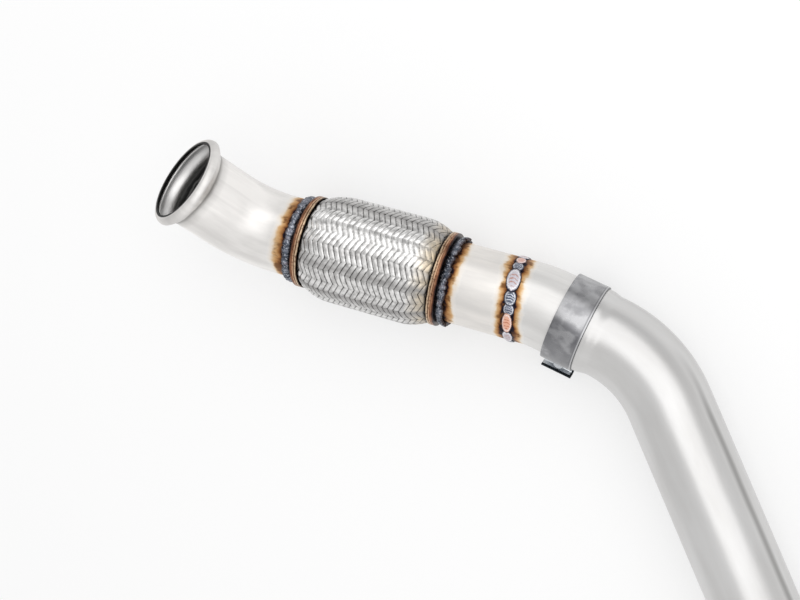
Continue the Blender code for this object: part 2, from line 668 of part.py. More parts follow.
def main():
    """Build the pipe at rest, with the origin on the floor under the middle of its box."""
    for leftover in list(bpy.data.objects):
        bpy.data.objects.remove(leftover, do_unlink=True)
    frames = route(resting_lean())
    flex = frames["flex"]
    clamp = advance(frames["joint"], BAND_FROM_BEND + BAND_WIDTH / 2) @ Matrix.Rotation(BAND_GAP_ANGLE, 4, "Z")
    pieces = [
        build_inlet_elbow(frames),
        build_fillet_weld("front_weld", flex, 1, 0.0),
        build_collar("flex_front_collar", flex, 1),
        build_braid(flex),
        build_bellows(flex),
        build_liner(flex),
        build_collar("flex_rear_collar", flex, -1),
        build_fillet_weld("rear_weld", flex, -1, BLOB_HEIGHT),
        build_outlet_stub(frames),
        build_seam_weld(frames),
        build_slip_tube(frames),
        build_mid_pipe(frames),
        build_clamp_band(clamp),
        build_clamp_bolt(clamp),
        build_clamp_nut(clamp),
        build_clamp_washer("clamp_washer_upper", clamp, -1),
        build_clamp_washer("clamp_washer_lower", clamp, 1),
    ]
    origin = lowest_and_middle(pieces)
    assembly = bpy.data.objects.new("exhaust_mid_pipe", None)
    bpy.context.collection.objects.link(assembly)
    for child in [item for item in bpy.data.objects if item is not assembly]:
        child.parent = assembly
    assembly.location = -origin


main()
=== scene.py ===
"""Exhaust mid pipe in its finishes: satin tubes, tinted welds, a woven coupling and a clamp."""

import logging
import math
import random
from collections.abc import Callable
from dataclasses import dataclass, field
from enum import Enum

import bpy
import numpy as np
from mathutils import Matrix, Vector


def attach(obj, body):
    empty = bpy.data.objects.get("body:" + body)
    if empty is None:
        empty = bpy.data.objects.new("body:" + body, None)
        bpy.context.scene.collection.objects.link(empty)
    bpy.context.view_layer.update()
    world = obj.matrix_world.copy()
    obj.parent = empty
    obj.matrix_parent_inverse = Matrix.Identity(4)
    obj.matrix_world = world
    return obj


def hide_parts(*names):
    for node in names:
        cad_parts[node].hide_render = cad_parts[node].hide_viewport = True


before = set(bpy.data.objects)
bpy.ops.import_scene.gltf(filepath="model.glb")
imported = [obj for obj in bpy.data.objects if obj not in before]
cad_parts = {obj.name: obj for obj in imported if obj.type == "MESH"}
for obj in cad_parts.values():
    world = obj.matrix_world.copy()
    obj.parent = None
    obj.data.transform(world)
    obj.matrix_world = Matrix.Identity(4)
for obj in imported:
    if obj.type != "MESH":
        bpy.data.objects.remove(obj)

MM = 0.001
DOUBLES = 0.001 * MM
LOG = logging.getLogger("exhaust_mid_pipe")

Colour = tuple[float, float, float]
Stops = tuple[tuple[float, Colour], ...]
Levels = tuple[tuple[float, float], ...]
Profile = list[tuple[float, float]]
Piece = bpy.types.Object
Socket = bpy.types.NodeSocket

PALE_STEEL: Colour = (0.92, 0.90, 0.88)
BRIGHT_STEEL: Colour = (0.64, 0.635, 0.63)


def advance(heading: Matrix, length: float) -> Matrix:
    """Move a heading along its own Z axis.

    Args:
        heading: place and directions on the pipe's route.
        length: distance in metres.

    Returns:
        The moved heading.
    """
    return heading @ Matrix.Translation((0, 0, length))


def swing(heading: Matrix, radius: float, angle: float) -> Matrix:
    """Carry a heading round a bend whose centre lies on its own X axis.

    Args:
        heading: place and directions where the bend starts.
        radius: radius of the bend's centreline.
        angle: angle of the bend in radians.

    Returns:
        The heading where the bend ends.
    """
    to_centre = Matrix.Translation((radius, 0, 0))
    return heading @ to_centre @ Matrix.Rotation(angle, 4, "Y") @ to_centre.inverted()


@dataclass(frozen=True)
class Route:
    """Axis of the pipe at rest, followed from the outlet's open end back to the inlet's mouth."""

    outlet_x: float = 163.33 * MM
    outlet_y: float = -396.13 * MM
    outlet_z: float = 38.51 * MM
    lean: float = math.radians(4.391)
    leg_length: float = 400.0 * MM
    main_bend_radius: float = 114.3 * MM
    main_bend_angle: float = math.radians(42.0)
    joint_run: float = 54.0 * MM
    ease_bend_radius: float = 114.3 * MM
    ease_bend_angle: float = math.radians(10.0)
    seam_from_bend: float = 12.0 * MM
    seam_slant: float = math.tan(math.radians(5.0))
    stub_length: float = 62.0 * MM
    flex_length: float = 152.4 * MM
    elbow_lead: float = 18.8 * MM
    inlet_bend_radius: float = 76.2 * MM
    inlet_bend_angle: float = math.radians(49.0)
    inlet_bend_turn: float = math.radians(117.0)
    inlet_run: float = 51.4 * MM

    def outlet(self) -> Matrix:
        """Return the heading at the outlet's open end."""
        sideways = Vector((-math.cos(self.lean), 0, math.sin(self.lean)))
        along = Vector((0, 1, 0))
        heading = Matrix((sideways, along.cross(sideways), along)).transposed().to_4x4()
        heading.translation = (self.outlet_x, self.outlet_y, self.outlet_z)
        return heading

    def joint(self) -> Matrix:
        """Return the heading where the main bend ends and the slip joint starts."""
        leg_end = advance(self.outlet(), self.leg_length)
        return swing(leg_end, self.main_bend_radius, self.main_bend_angle)

    def seam(self) -> Matrix:
        """Return the heading at the seam weld."""
        joint_end = advance(self.joint(), self.joint_run)
        bend_end = swing(joint_end, self.ease_bend_radius, self.ease_bend_angle)
        return advance(bend_end, self.seam_from_bend)

    def flex(self) -> Matrix:
        """Return the heading at the middle of the flex coupling."""
        return advance(self.seam(), self.stub_length + self.flex_length / 2)

    def flex_end(self, side: float) -> Matrix:
        """Return the heading at one end of the flex coupling, where its weld lies.

        Args:
            side: one for the inlet's end, minus one for the outlet's end.

        Returns:
            The heading at that end.
        """
        return advance(self.flex(), side * self.flex_length / 2)

    def elbow_seat(self, depth: float) -> Matrix:
        """Return the heading where the inlet elbow is seated, turned to the plane of its bend.

        Args:
            depth: how far the elbow reaches into the flex coupling.

        Returns:
            The heading at the elbow's seated end.
        """
        seat = advance(self.flex(), self.flex_length / 2 - depth)
        return seat @ Matrix.Rotation(self.inlet_bend_turn, 4, "Z")


@dataclass(frozen=True)
class Tube:
    """Stock of the tubes and the clearances between them."""

    radius: float = 38.1 * MM
    wall: float = 1.65 * MM
    gap: float = 0.3 * MM
    sides: int = 128
    seat_depth: float = 9.0 * MM


def leave_edit_mode() -> None:
    """Go back to object mode with nothing selected."""
    if bpy.context.object and bpy.context.object.mode != "OBJECT":
        bpy.ops.object.mode_set(mode="OBJECT")
    bpy.ops.object.select_all(action="DESELECT")


def pick_only(piece: Piece) -> None:
    """Select one piece alone and make it active.

    Args:
        piece: the piece to select.
    """
    leave_edit_mode()
    piece.select_set(True)
    bpy.context.view_layer.objects.active = piece


def set_in_place(piece: Piece, place: Matrix) -> None:
    """Put a piece's mesh at its place and leave its object at the origin.

    Args:
        piece: the finished piece, modelled round the origin.
        place: heading on the pipe's route that the piece belongs to.
    """
    piece.data.transform(place)
    piece.data.update()


def pick_points(piece: Piece, wanted: Callable[[Vector], bool]) -> None:
    """Select a piece's points by their place and stay in edit mode.

    Args:
        piece: the piece whose points are picked.
        wanted: tells from a point's place whether it is picked.
    """
    pick_only(piece)
    bpy.ops.object.mode_set(mode="EDIT")
    bpy.ops.mesh.select_mode(type="VERT")
    bpy.ops.mesh.select_all(action="DESELECT")
    bpy.ops.object.mode_set(mode="OBJECT")
    for point in piece.data.vertices:
        point.select = wanted(point.co)
    bpy.ops.object.mode_set(mode="EDIT")


def smooth(piece: Piece, angle: float) -> None:
    """Shade a piece smooth except along edges sharper than an angle in degrees."""
    pick_only(piece)
    bpy.ops.object.shade_smooth_by_angle(angle=math.radians(angle))


def apply_modifier(piece: Piece, kind: str, **settings: object) -> None:
    """Add a modifier with its settings and apply it.

    Args:
        piece: the piece to change.
        kind: the modifier's type.
        **settings: the modifier's properties.
    """
    pick_only(piece)
    modifier = piece.modifiers.new(kind.lower(), kind)
    for key, value in settings.items():
        setattr(modifier, key, value)
    bpy.ops.object.modifier_apply(modifier=modifier.name)


def points_of(piece: Piece) -> np.ndarray:
    """Read the places of a piece's points.

    Args:
        piece: the piece to read.

    Returns:
        One row for each point.
    """
    points = np.empty(len(piece.data.vertices) * 3)
    piece.data.vertices.foreach_get("co", points)
    return points.reshape(-1, 3)


def write_layer(piece: Piece, name: str, values: np.ndarray) -> None:
    """Write one value on each of a piece's points, under a name."""
    layer = piece.data.attributes.new(name, "FLOAT", "POINT")
    layer.data.foreach_set("value", values)


def copied(model: Piece) -> Piece:
    """Copy a piece together with its mesh.

    Args:
        model: the piece to copy.

    Returns:
        The copy, in the scene.
    """
    copy = model.copy()
    copy.data = model.data.copy()
    bpy.context.collection.objects.link(copy)
    return copy


def joined(copies: list[Piece], name: str) -> Piece:
    """Join copies into one piece.

    Args:
        copies: the pieces to join.
        name: the joined piece's name.

    Returns:
        The joined piece.
    """
    pick_only(copies[0])
    for copy in copies:
        copy.select_set(True)
    bpy.ops.object.join()
    copies[0].name = name
    return copies[0]


def eased(share: float) -> float:
    """Return a share that starts and ends gently, for a curve with no corner at its ends."""
    return (3 - 2 * share) * share ** 2


@dataclass
class RingPath:
    """A ring of points that is pushed along a path and leaves its skin behind."""

    name: str
    radius: float
    sides: int = 128
    heading: Matrix = field(default_factory=lambda: Matrix.Identity(4))
    rings: list[tuple[Matrix, float]] = field(default_factory=list)
    piece: Piece | None = None

    def begin(self) -> None:
        """Lay the first ring round the origin and open it for shaping."""
        leave_edit_mode()
        bpy.ops.mesh.primitive_circle_add(vertices=self.sides, radius=self.radius,
                                          fill_type="NOTHING")
        self.piece = bpy.context.object
        self.piece.name = self.name
        self.rings = [(self.heading.copy(), 0.0)]
        bpy.ops.object.mode_set(mode="EDIT")
        bpy.ops.mesh.select_all(action="SELECT")

    def forward(self, length: float, radius: float | None = None) -> None:
        """Push the ring straight on, and widen or narrow it on the way.

        Args:
            length: distance along the heading, or back where it is negative.
            radius: the ring's new radius, if it changes.
        """
        step = self.heading.col[2].xyz * length
        bpy.ops.mesh.extrude_region_move(TRANSFORM_OT_translate={"value": step})
        self.heading = advance(self.heading, length)
        if radius is not None and radius != self.radius:
            ratio = radius / self.radius
            centre = self.heading.translation
            bpy.ops.transform.resize(value=(ratio, ratio, ratio), center_override=centre)
            self.radius = radius
        self.rings.append((self.heading.copy(), self.rings[-1][1] + length))

    def bend(self, radius: float, angle: float, steps: int) -> None:
        """Push the ring round a bend.

        Args:
            radius: radius of the bend's centreline.
            angle: angle of the bend in radians.
            steps: how many rings the bend is divided into.
        """
        centre = (self.heading @ Matrix.Translation((radius, 0, 0))).translation
        axis = self.heading.col[1].xyz
        bpy.ops.mesh.spin(steps=steps, angle=-angle, center=centre, axis=axis)
        start, travelled = self.heading, self.rings[-1][1]
        for step in range(1, steps + 1):
            turn = angle * step / steps
            self.rings.append((swing(start, radius, turn), travelled + radius * turn))
        self.heading = swing(start, radius, angle)

    def follow(self, profile: Profile) -> None:
        """Push the ring through a profile of (radius, height) points.

        Args:
            profile: points from which the ring's next radii and heights are read.
        """
        for radius, height in profile:
            self.forward(height - self.heading.translation.z, radius)

    def write_straight(self) -> None:
        """Write on each point where it would lie if the tube were drawn out straight."""
        points = self.piece.data.vertices
        layer = self.piece.data.attributes.new("straight", "FLOAT_VECTOR", "POINT")
        for index, point in enumerate(points):
            heading, travelled = self.rings[index // self.sides]
            across = (heading.inverted() @ point.co).xy.normalized() * self.radius
            layer.data[index].vector = (across.x, across.y, travelled)

    def finish(self, place: Matrix, wall: float = 0.0, sharp: float = 35.0) -> Piece:
        """Close the skin, thicken it, shade it and put it in its place.

        Args:
            place: heading on the route that the path started from.
            wall: thickness added inward, or nothing for a closed skin.
            sharp: angle in degrees past which an edge stays sharp.

        Returns:
            The finished piece.
        """
        bpy.ops.mesh.select_all(action="SELECT")
        bpy.ops.mesh.remove_doubles(threshold=DOUBLES)
        bpy.ops.mesh.normals_make_consistent(inside=False)
        leave_edit_mode()
        if wall:
            self.write_straight()
            self.piece.data.materials.append(None)
            self.piece.data.materials.append(None)
            apply_modifier(self.piece, "SOLIDIFY", thickness=wall, offset=-1.0,
                           use_even_offset=True, material_offset=1)
        smooth(self.piece, sharp)
        set_in_place(self.piece, place)
        return self.piece


def turned(name: str, profile: Profile, sides: int, place: Matrix) -> Piece:
    """Turn a closed profile of (radius, height) points round a heading.

    Args:
        name: the piece's name.
        profile: the outline, without its first point repeated.
        sides: how many sides the round has.
        place: heading that it is turned round.

    Returns:
        The finished piece.
    """
    first_radius, first_height = profile[0]
    path = RingPath(name, first_radius, sides)
    path.begin()
    bpy.ops.transform.translate(value=(0, 0, first_height))
    path.heading = Matrix.Translation((0, 0, first_height))
    path.follow(profile[1:] + profile[:1])
    return path.finish(place)


def arc_points(centre: tuple[float, float], radius: float, start: float, end: float,
               steps: int) -> Profile:
    """List points along an arc, both ends included.

    Args:
        centre: the arc's middle.
        radius: the arc's radius.
        start: first angle in degrees.
        end: last angle in degrees.
        steps: how many steps the arc takes.

    Returns:
        The points in order.
    """
    turns = [math.radians(start + (end - start) * step / steps) for step in range(steps + 1)]
    return [(centre[0] + radius * math.cos(turn), centre[1] + radius * math.sin(turn))
            for turn in turns]


class Sheet:
    """Shader nodes of one finish, laid down one after the other."""

    def __init__(self, name: str) -> None:
        """Open a new material.

        Args:
            name: the material's name.
        """
        self.material = bpy.data.materials.new(name)
        self.material.use_nodes = True
        self.tree = self.material.node_tree
        self.shader = self.tree.nodes["Principled BSDF"]
        self.place = self.add("ShaderNodeTexCoord").outputs["Object"]

    def add(self, kind: str, inputs: dict[str | int, object] | None = None,
            **settings: object) -> bpy.types.Node:
        """Add a node, set its properties and fill or link its sockets.

        Args:
            kind: the node's type.
            inputs: socket names with a value or with the socket to link.
            **settings: the node's own properties.

        Returns:
            The node.
        """
        node = self.tree.nodes.new(kind)
        for key, value in settings.items():
            setattr(node, key, value)
        for key, value in (inputs or {}).items():
            if isinstance(value, Socket):
                self.tree.links.new(value, node.inputs[key])
            else:
                node.inputs[key].default_value = value
        return node

    def attribute(self, name: str, output: str = "Fac") -> Socket:
        """Return what was written on the piece's points under a name."""
        return self.add("ShaderNodeAttribute", attribute_name=name).outputs[output]

    def reckon(self, operation: str, first: object, second: object = 0.0) -> Socket:
        """Return the result of a sum on two values or sockets."""
        return self.add("ShaderNodeMath", {0: first, 1: second}, operation=operation).outputs[0]

    def total(self, *values: object) -> Socket:
        """Add up several values or sockets.

        Args:
            *values: what is added, in order.

        Returns:
            The sum.
        """
        result = values[0]
        for value in values[1:]:
            result = self.reckon("ADD", result, value)
        return result

    def along(self, point: Vector, axis: Vector) -> Socket:
        """Measure how far past a point the surface lies, along an axis.

        Args:
            point: where the measure starts.
            axis: direction of the measure.

        Returns:
            The distance.
        """
        offset = self.add("ShaderNodeVectorMath", {0: self.place, 1: tuple(point)},
                          operation="SUBTRACT")
        return self.dot(offset.outputs[0], tuple(axis))

    def dot(self, vector: Socket, axis: tuple[float, ...]) -> Socket:
        """Return how far a vector reaches along an axis."""
        inputs = {0: vector, 1: axis}
        return self.add("ShaderNodeVectorMath", inputs, operation="DOT_PRODUCT").outputs["Value"]

    def noise(self, scale: float, detail: float = 2.0, vector: Socket | None = None) -> Socket:
        """Return a noise of a scale per metre."""
        inputs = {"Vector": vector or self.place, "Scale": scale, "Detail": detail}
        return self.add("ShaderNodeTexNoise", inputs).outputs["Fac"]

    def drawn_out(self, factor: float) -> Socket:
        """Return the position on the straightened tube, scaled by a factor along it."""
        inputs = {"Vector": self.attribute("straight", "Vector"), "Scale": (1.0, 1.0, factor)}
        return self.add("ShaderNodeMapping", inputs).outputs[0]

    def centred(self, value: Socket, size: float) -> Socket:
        """Return a noise shifted to vary evenly on both sides of nothing, times a size."""
        return self.reckon("MULTIPLY", self.reckon("SUBTRACT", value, 0.5), size)

    def stretched(self, place: Matrix, factor: float) -> Socket:
        """Turn the position to a heading's directions and scale it along the heading.

        Args:
            place: heading whose directions are used.
            factor: scale along its Z axis.

        Returns:
            The turned and scaled position.
        """
        turn = place.to_3x3().inverted().to_euler()
        inputs = {"Vector": self.place, "Rotation": turn}
        turned_place = self.add("ShaderNodeMapping", inputs).outputs[0]
        inputs = {"Vector": turned_place, "Scale": (1.0, 1.0, factor)}
        return self.add("ShaderNodeMapping", inputs).outputs[0]

    def ramp(self, value: Socket, stops: Stops) -> Socket:
        """Pick a colour by a value.

        Args:
            value: what picks the colour, from 0 to 1.
            stops: positions and their colours, in order.

        Returns:
            The colour.
        """
        node = self.add("ShaderNodeValToRGB", {"Fac": value})
        ramp = node.color_ramp
        for index, (position, colour) in enumerate(stops):
            stop = ramp.elements[index] if index < 2 else ramp.elements.new(position)
            stop.position = position
            stop.color = (*colour, 1.0)
        return node.outputs["Color"]

    def fade(self, value: Socket, *levels: tuple[float, float]) -> Socket:
        """Return the level that a value picks between (position, level) pairs."""
        return self.ramp(value, tuple((position, (level,) * 3) for position, level in levels))

    def mixed(self, share: object, first: object, second: object) -> Socket:
        """Return a mix of two colours by a share."""
        inputs = {0: share, 6: padded(first), 7: padded(second)}
        return self.add("ShaderNodeMix", inputs, data_type="RGBA").outputs[2]

    def spread(self, value: Socket, low: float, high: float) -> Socket:
        """Return a value between nothing and one stretched to a range."""
        inputs = {"Value": value, "To Min": low, "To Max": high}
        return self.add("ShaderNodeMapRange", inputs).outputs["Result"]

    def paint(self, colour: object) -> None:
        """Put a colour or a socket on the shader."""
        self.feed("Base Color", colour)

    def feed(self, name: str, value: object) -> None:
        """Put a value or a socket on one of the shader's inputs."""
        if isinstance(value, Socket):
            self.tree.links.new(value, self.shader.inputs[name])
        else:
            self.shader.inputs[name].default_value = padded(value)

    def bump(self, height: Socket, strength: float, distance: float) -> None:
        """Raise the surface by a height."""
        inputs = {"Height": height, "Strength": strength, "Distance": distance}
        self.feed("Normal", self.add("ShaderNodeBump", inputs).outputs["Normal"])


def padded(value: object) -> object:
    """Return a colour with its alpha, and any other value as it is."""
    return (*value, 1.0) if isinstance(value, tuple) and len(value) == 3 else value


@dataclass(frozen=True)
class TintSite:
    """Weld that has tinted the tube on one side of it, or on both where away is nothing."""

    place: Matrix
    toe: float
    away: float = 1.0
    slant: float = 0.0
    reach: float = 15.0 * MM

    def share(self, sheet: Sheet, ragged: Socket) -> Socket:
        """Measure how far a point is out of the tint.

        Args:
            sheet: the material's nodes.
            ragged: distance by which the tint's edge wanders.

        Returns:
            The share, from nothing at the weld to one where the tint ends.
        """
        axis = (self.place.col[2].xyz + self.place.col[0].xyz * self.slant) * (self.away or 1.0)
        length = sheet.along(self.place.translation, axis)
        if not self.away:
            length = sheet.reckon("ABSOLUTE", length)
        moved = sheet.total(sheet.reckon("SUBTRACT", length, self.toe), ragged)
        return sheet.reckon("DIVIDE", sheet.reckon("MAXIMUM", moved, 0.0), self.reach)


TINT_STOPS: Stops = (
    (0.00, (0.014, 0.012, 0.020)),
    (0.05, (0.030, 0.014, 0.016)),
    (0.11, (0.17, 0.066, 0.024)),
    (0.26, (0.44, 0.22, 0.085)),
    (0.42, (0.62, 0.39, 0.19)),
    (0.54, (0.70, 0.52, 0.33)),
    (0.66, (0.80, 0.71, 0.60)),
    (1.00, PALE_STEEL),
)


@dataclass(frozen=True)
class TubeFinish:
    """Satin stainless tube with straw and brown tint beside its welds."""

    name: str
    sites: tuple[TintSite, ...] = ()
    steel: Colour = PALE_STEEL
    shade: Colour = (0.62, 0.605, 0.59)
    roughness: float = 0.5
    cloudiness: float = 0.62
    streakiness: float = 0.3
    # turn, reach, width, waver and colour of a painted dark reflection that runs along the tube as
    # a line
    reflection_turn: float | None = None
    reflection_end: float = 440.0 * MM
    reflection_width: float = 5.5 * MM
    seam_and_reflection_wander: float = 2.4 * MM
    reflection_colour: Colour = (0.22, 0.215, 0.21)
    crease: float | None = None
    # colour of the painted shade in the crease behind the lip
    crease_shade_colour: Colour = (0.26, 0.25, 0.24)
    mouth: Vector | None = None
    mouth_radius: float = 41.2 * MM
    mouth_colour: Colour = (0.02, 0.02, 0.02)
    wave_depth: float = 0.35 * MM
    tint_ticks: float = 3.0 * MM
    tint_ragged: float = 5.0 * MM
    tint_wander: float = 10.0 * MM
    fleck_colour: Colour = (0.16, 0.070, 0.028)

    def material(self) -> bpy.types.Material:
        """Return the finish as a material."""
        sheet = Sheet(self.name)
        clouds = sheet.noise(34.0, 4.0, sheet.drawn_out(0.28))
        streaks = sheet.noise(130.0, 3.0, sheet.drawn_out(0.05))
        clouded = sheet.fade(clouds, (0.42, 0.0), (0.66, self.cloudiness))
        steel = sheet.mixed(clouded, self.steel, self.shade)
        streaked = sheet.fade(streaks, (0.44, 0.0), (0.66, self.streakiness))
        steel = sheet.mixed(streaked, steel, self.shade)
        if self.sites:
            steel = self.tinted(sheet, steel)
        if self.reflection_turn is not None:
            steel = self.reflection_lined(sheet, steel)
        if self.crease is not None:
            steel = self.shaded_crease(sheet, steel)
        if self.mouth is not None:
            steel = self.shadowed(sheet, steel)
        sheet.paint(steel)
        sheet.feed("Metallic", 1.0)
        grain = sheet.noise(900.0, 2.0, sheet.drawn_out(0.06))
        sheet.feed("Roughness", sheet.spread(grain, self.roughness - 0.05, self.roughness + 0.07))
        waves = sheet.noise(38.0, 2.0, sheet.drawn_out(0.25))
        relief = sheet.total(waves, sheet.reckon("MULTIPLY", grain, 0.06))
        sheet.bump(relief, 0.35, self.wave_depth)
        return sheet.material

    def shadowed(self, sheet: Sheet, steel: Socket) -> Socket:
        """Darken the inner rim of the mouth, which the lip keeps in shadow.

        Args:
            sheet: the material's nodes.
            steel: colour of the steel outside the mouth.

        Returns:
            The colour of both.
        """
        inputs = {0: sheet.place, 1: self.mouth}
        from_mouth = sheet.add("ShaderNodeVectorMath", inputs, operation="DISTANCE")
        inside = sheet.reckon("LESS_THAN", from_mouth.outputs["Value"], self.mouth_radius)
        return sheet.mixed(inside, steel, self.mouth_colour)

    def reflection_lined(self, sheet: Sheet, steel: Socket) -> Socket:
        """Paint a dark reflection as a line along the tube, as far as the bend.

        Args:
            sheet: the material's nodes.
            steel: colour of the steel beside the line.

        Returns:
            The colour of both.
        """
        right, up = math.cos(self.reflection_turn), math.sin(self.reflection_turn)
        straight = sheet.attribute("straight", "Vector")
        beside = sheet.dot(straight, (-up, right, 0.0))
        facing = sheet.dot(straight, (right, up, 0.0))
        waver = sheet.centred(sheet.noise(30.0, 3.0, sheet.drawn_out(0.6)), self.seam_and_reflection_wander)
        off = sheet.reckon("ABSOLUTE", sheet.total(beside, waver))
        # painted reflection: a dark line at a fixed turn round the tube, on one side only
        line = sheet.fade(sheet.reckon("DIVIDE", off, self.reflection_width), (0.20, 0.66), (1.0, 0.0))
        near = sheet.reckon("GREATER_THAN", facing, 0.0)
        before_bend = sheet.fade(self.travelled(sheet, self.reflection_end), (0.86, 1.0), (1.0, 0.0))
        share = sheet.reckon("MULTIPLY", sheet.reckon("MULTIPLY", line, near), before_bend)
        return sheet.mixed(share, steel, self.reflection_colour)

    def travelled(self, sheet: Sheet, length: float) -> Socket:
        """Measure how far along the tube a point lies, as a share of a length.

        Args:
            sheet: the material's nodes.
            length: the length that counts as one.

        Returns:
            The share.
        """
        split = sheet.add("ShaderNodeSeparateXYZ", {0: sheet.attribute("straight", "Vector")})
        return sheet.reckon("DIVIDE", split.outputs["Z"], length)

    def shaded_crease(self, sheet: Sheet, steel: Socket) -> Socket:
        """Paint shade into the crease behind the rolled lip.

        Args:
            sheet: the material's nodes.
            steel: colour of the steel away from the lip.

        Returns:
            The colour of both.
        """
        wander = sheet.centred(sheet.noise(60.0, 3.0), 0.03)
        share = sheet.total(self.travelled(sheet, self.crease), wander)
        # painted shade: darkening in the crease where the lip meets the tube
        crease_shade = sheet.fade(share, (0.90, 0.0), (0.955, 0.30), (0.985, 0.9), (1.0, 0.2))
        return sheet.mixed(crease_shade, steel, self.crease_shade_colour)

    def tinted(self, sheet: Sheet, steel: Socket) -> Socket:
        """Lay the heat tint beside each weld, ragged at its edge and flecked with brown.

        Args:
            sheet: the material's nodes.
            steel: colour of the steel away from the welds.

        Returns:
            The colour of both.
        """
        ticks = sheet.noise(260.0, 3.0, sheet.drawn_out(0.2))
        wander = sheet.total(
            sheet.centred(ticks, self.tint_ticks),
            sheet.centred(sheet.noise(170.0, 4.0), self.tint_ragged),
            sheet.centred(sheet.noise(42.0, 3.0), self.tint_wander),
        )
        shares = [site.share(sheet, wander) for site in self.sites]
        share = shares[0]
        for other in shares[1:]:
            share = sheet.reckon("MINIMUM", share, other)
        clear = sheet.fade(share, (0.5, 0.0), (1.0, 1.0))
        flecks = sheet.noise(150.0, 5.0, sheet.drawn_out(0.6))
        flecked = sheet.fade(flecks, (0.50, 0.0), (0.60, 0.85))
        within = sheet.fade(share, (0.40, 1.0), (0.60, 0.0))
        flecked = sheet.reckon("MULTIPLY", flecked, within)
        tint = sheet.mixed(flecked, sheet.ramp(share, TINT_STOPS), self.fleck_colour)
        return sheet.mixed(clear, tint, steel)


@dataclass(frozen=True)
class BoreFinish:
    """Inside of a tube: steel colour at its mouth, then painted shade that turns black deeper in
    but for one faint painted light streak, with a ring of painted shadow just inside the mouth.
    """

    name: str
    mouth: Matrix
    inward: float = 1.0
    depth: float = 110.0 * MM
    wander: float = 9.0 * MM
    bore_shadow_colour: Colour = (0.02, 0.02, 0.02)
    # painted shade: the wall darkens to black deeper in, with one faint painted light streak
    depth_shade_stops: Stops = (
        (0.0, (0.80, 0.79, 0.78)),
        (0.11, (0.78, 0.77, 0.76)),
        (0.165, (0.42, 0.41, 0.40)),
        (0.20, (0.05, 0.049, 0.048)),
        (0.22, (0.014, 0.014, 0.014)),
        (0.235, (0.20, 0.195, 0.19)),
        (0.25, (0.012, 0.012, 0.012)),
    )

    def material(self) -> bpy.types.Material:
        """Return the finish as a material."""
        sheet = Sheet(self.name)
        inside = sheet.along(self.mouth.translation, self.mouth.col[2].xyz * self.inward)
        wander = sheet.centred(sheet.noise(45.0, 3.0), self.wander)
        share = sheet.reckon("DIVIDE", sheet.total(inside, wander), self.depth)
        # painted shadow: a dark ring just inside the mouth
        edge = sheet.fade(sheet.reckon("DIVIDE", inside, self.depth), (0.04, 1.0), (0.055, 0.0))
        sheet.paint(sheet.mixed(edge, sheet.ramp(share, self.depth_shade_stops), self.bore_shadow_colour))
        # the painted shade also takes the sheen off the metal deep inside
        sheet.feed("Metallic", sheet.fade(share, (0.17, 1.0), (0.21, 0.0)))
        sheet.feed("Specular IOR Level", 0.0)
        streaks = sheet.noise(260.0, 2.0, sheet.drawn_out(0.05))
        sheet.feed("Roughness", sheet.spread(streaks, 0.34, 0.42))
        return sheet.material


class WeldKind(Enum):
    """How hot a weld was run, and so how its surface is coloured."""

    DARK = "dark"
    COINED = "coined"


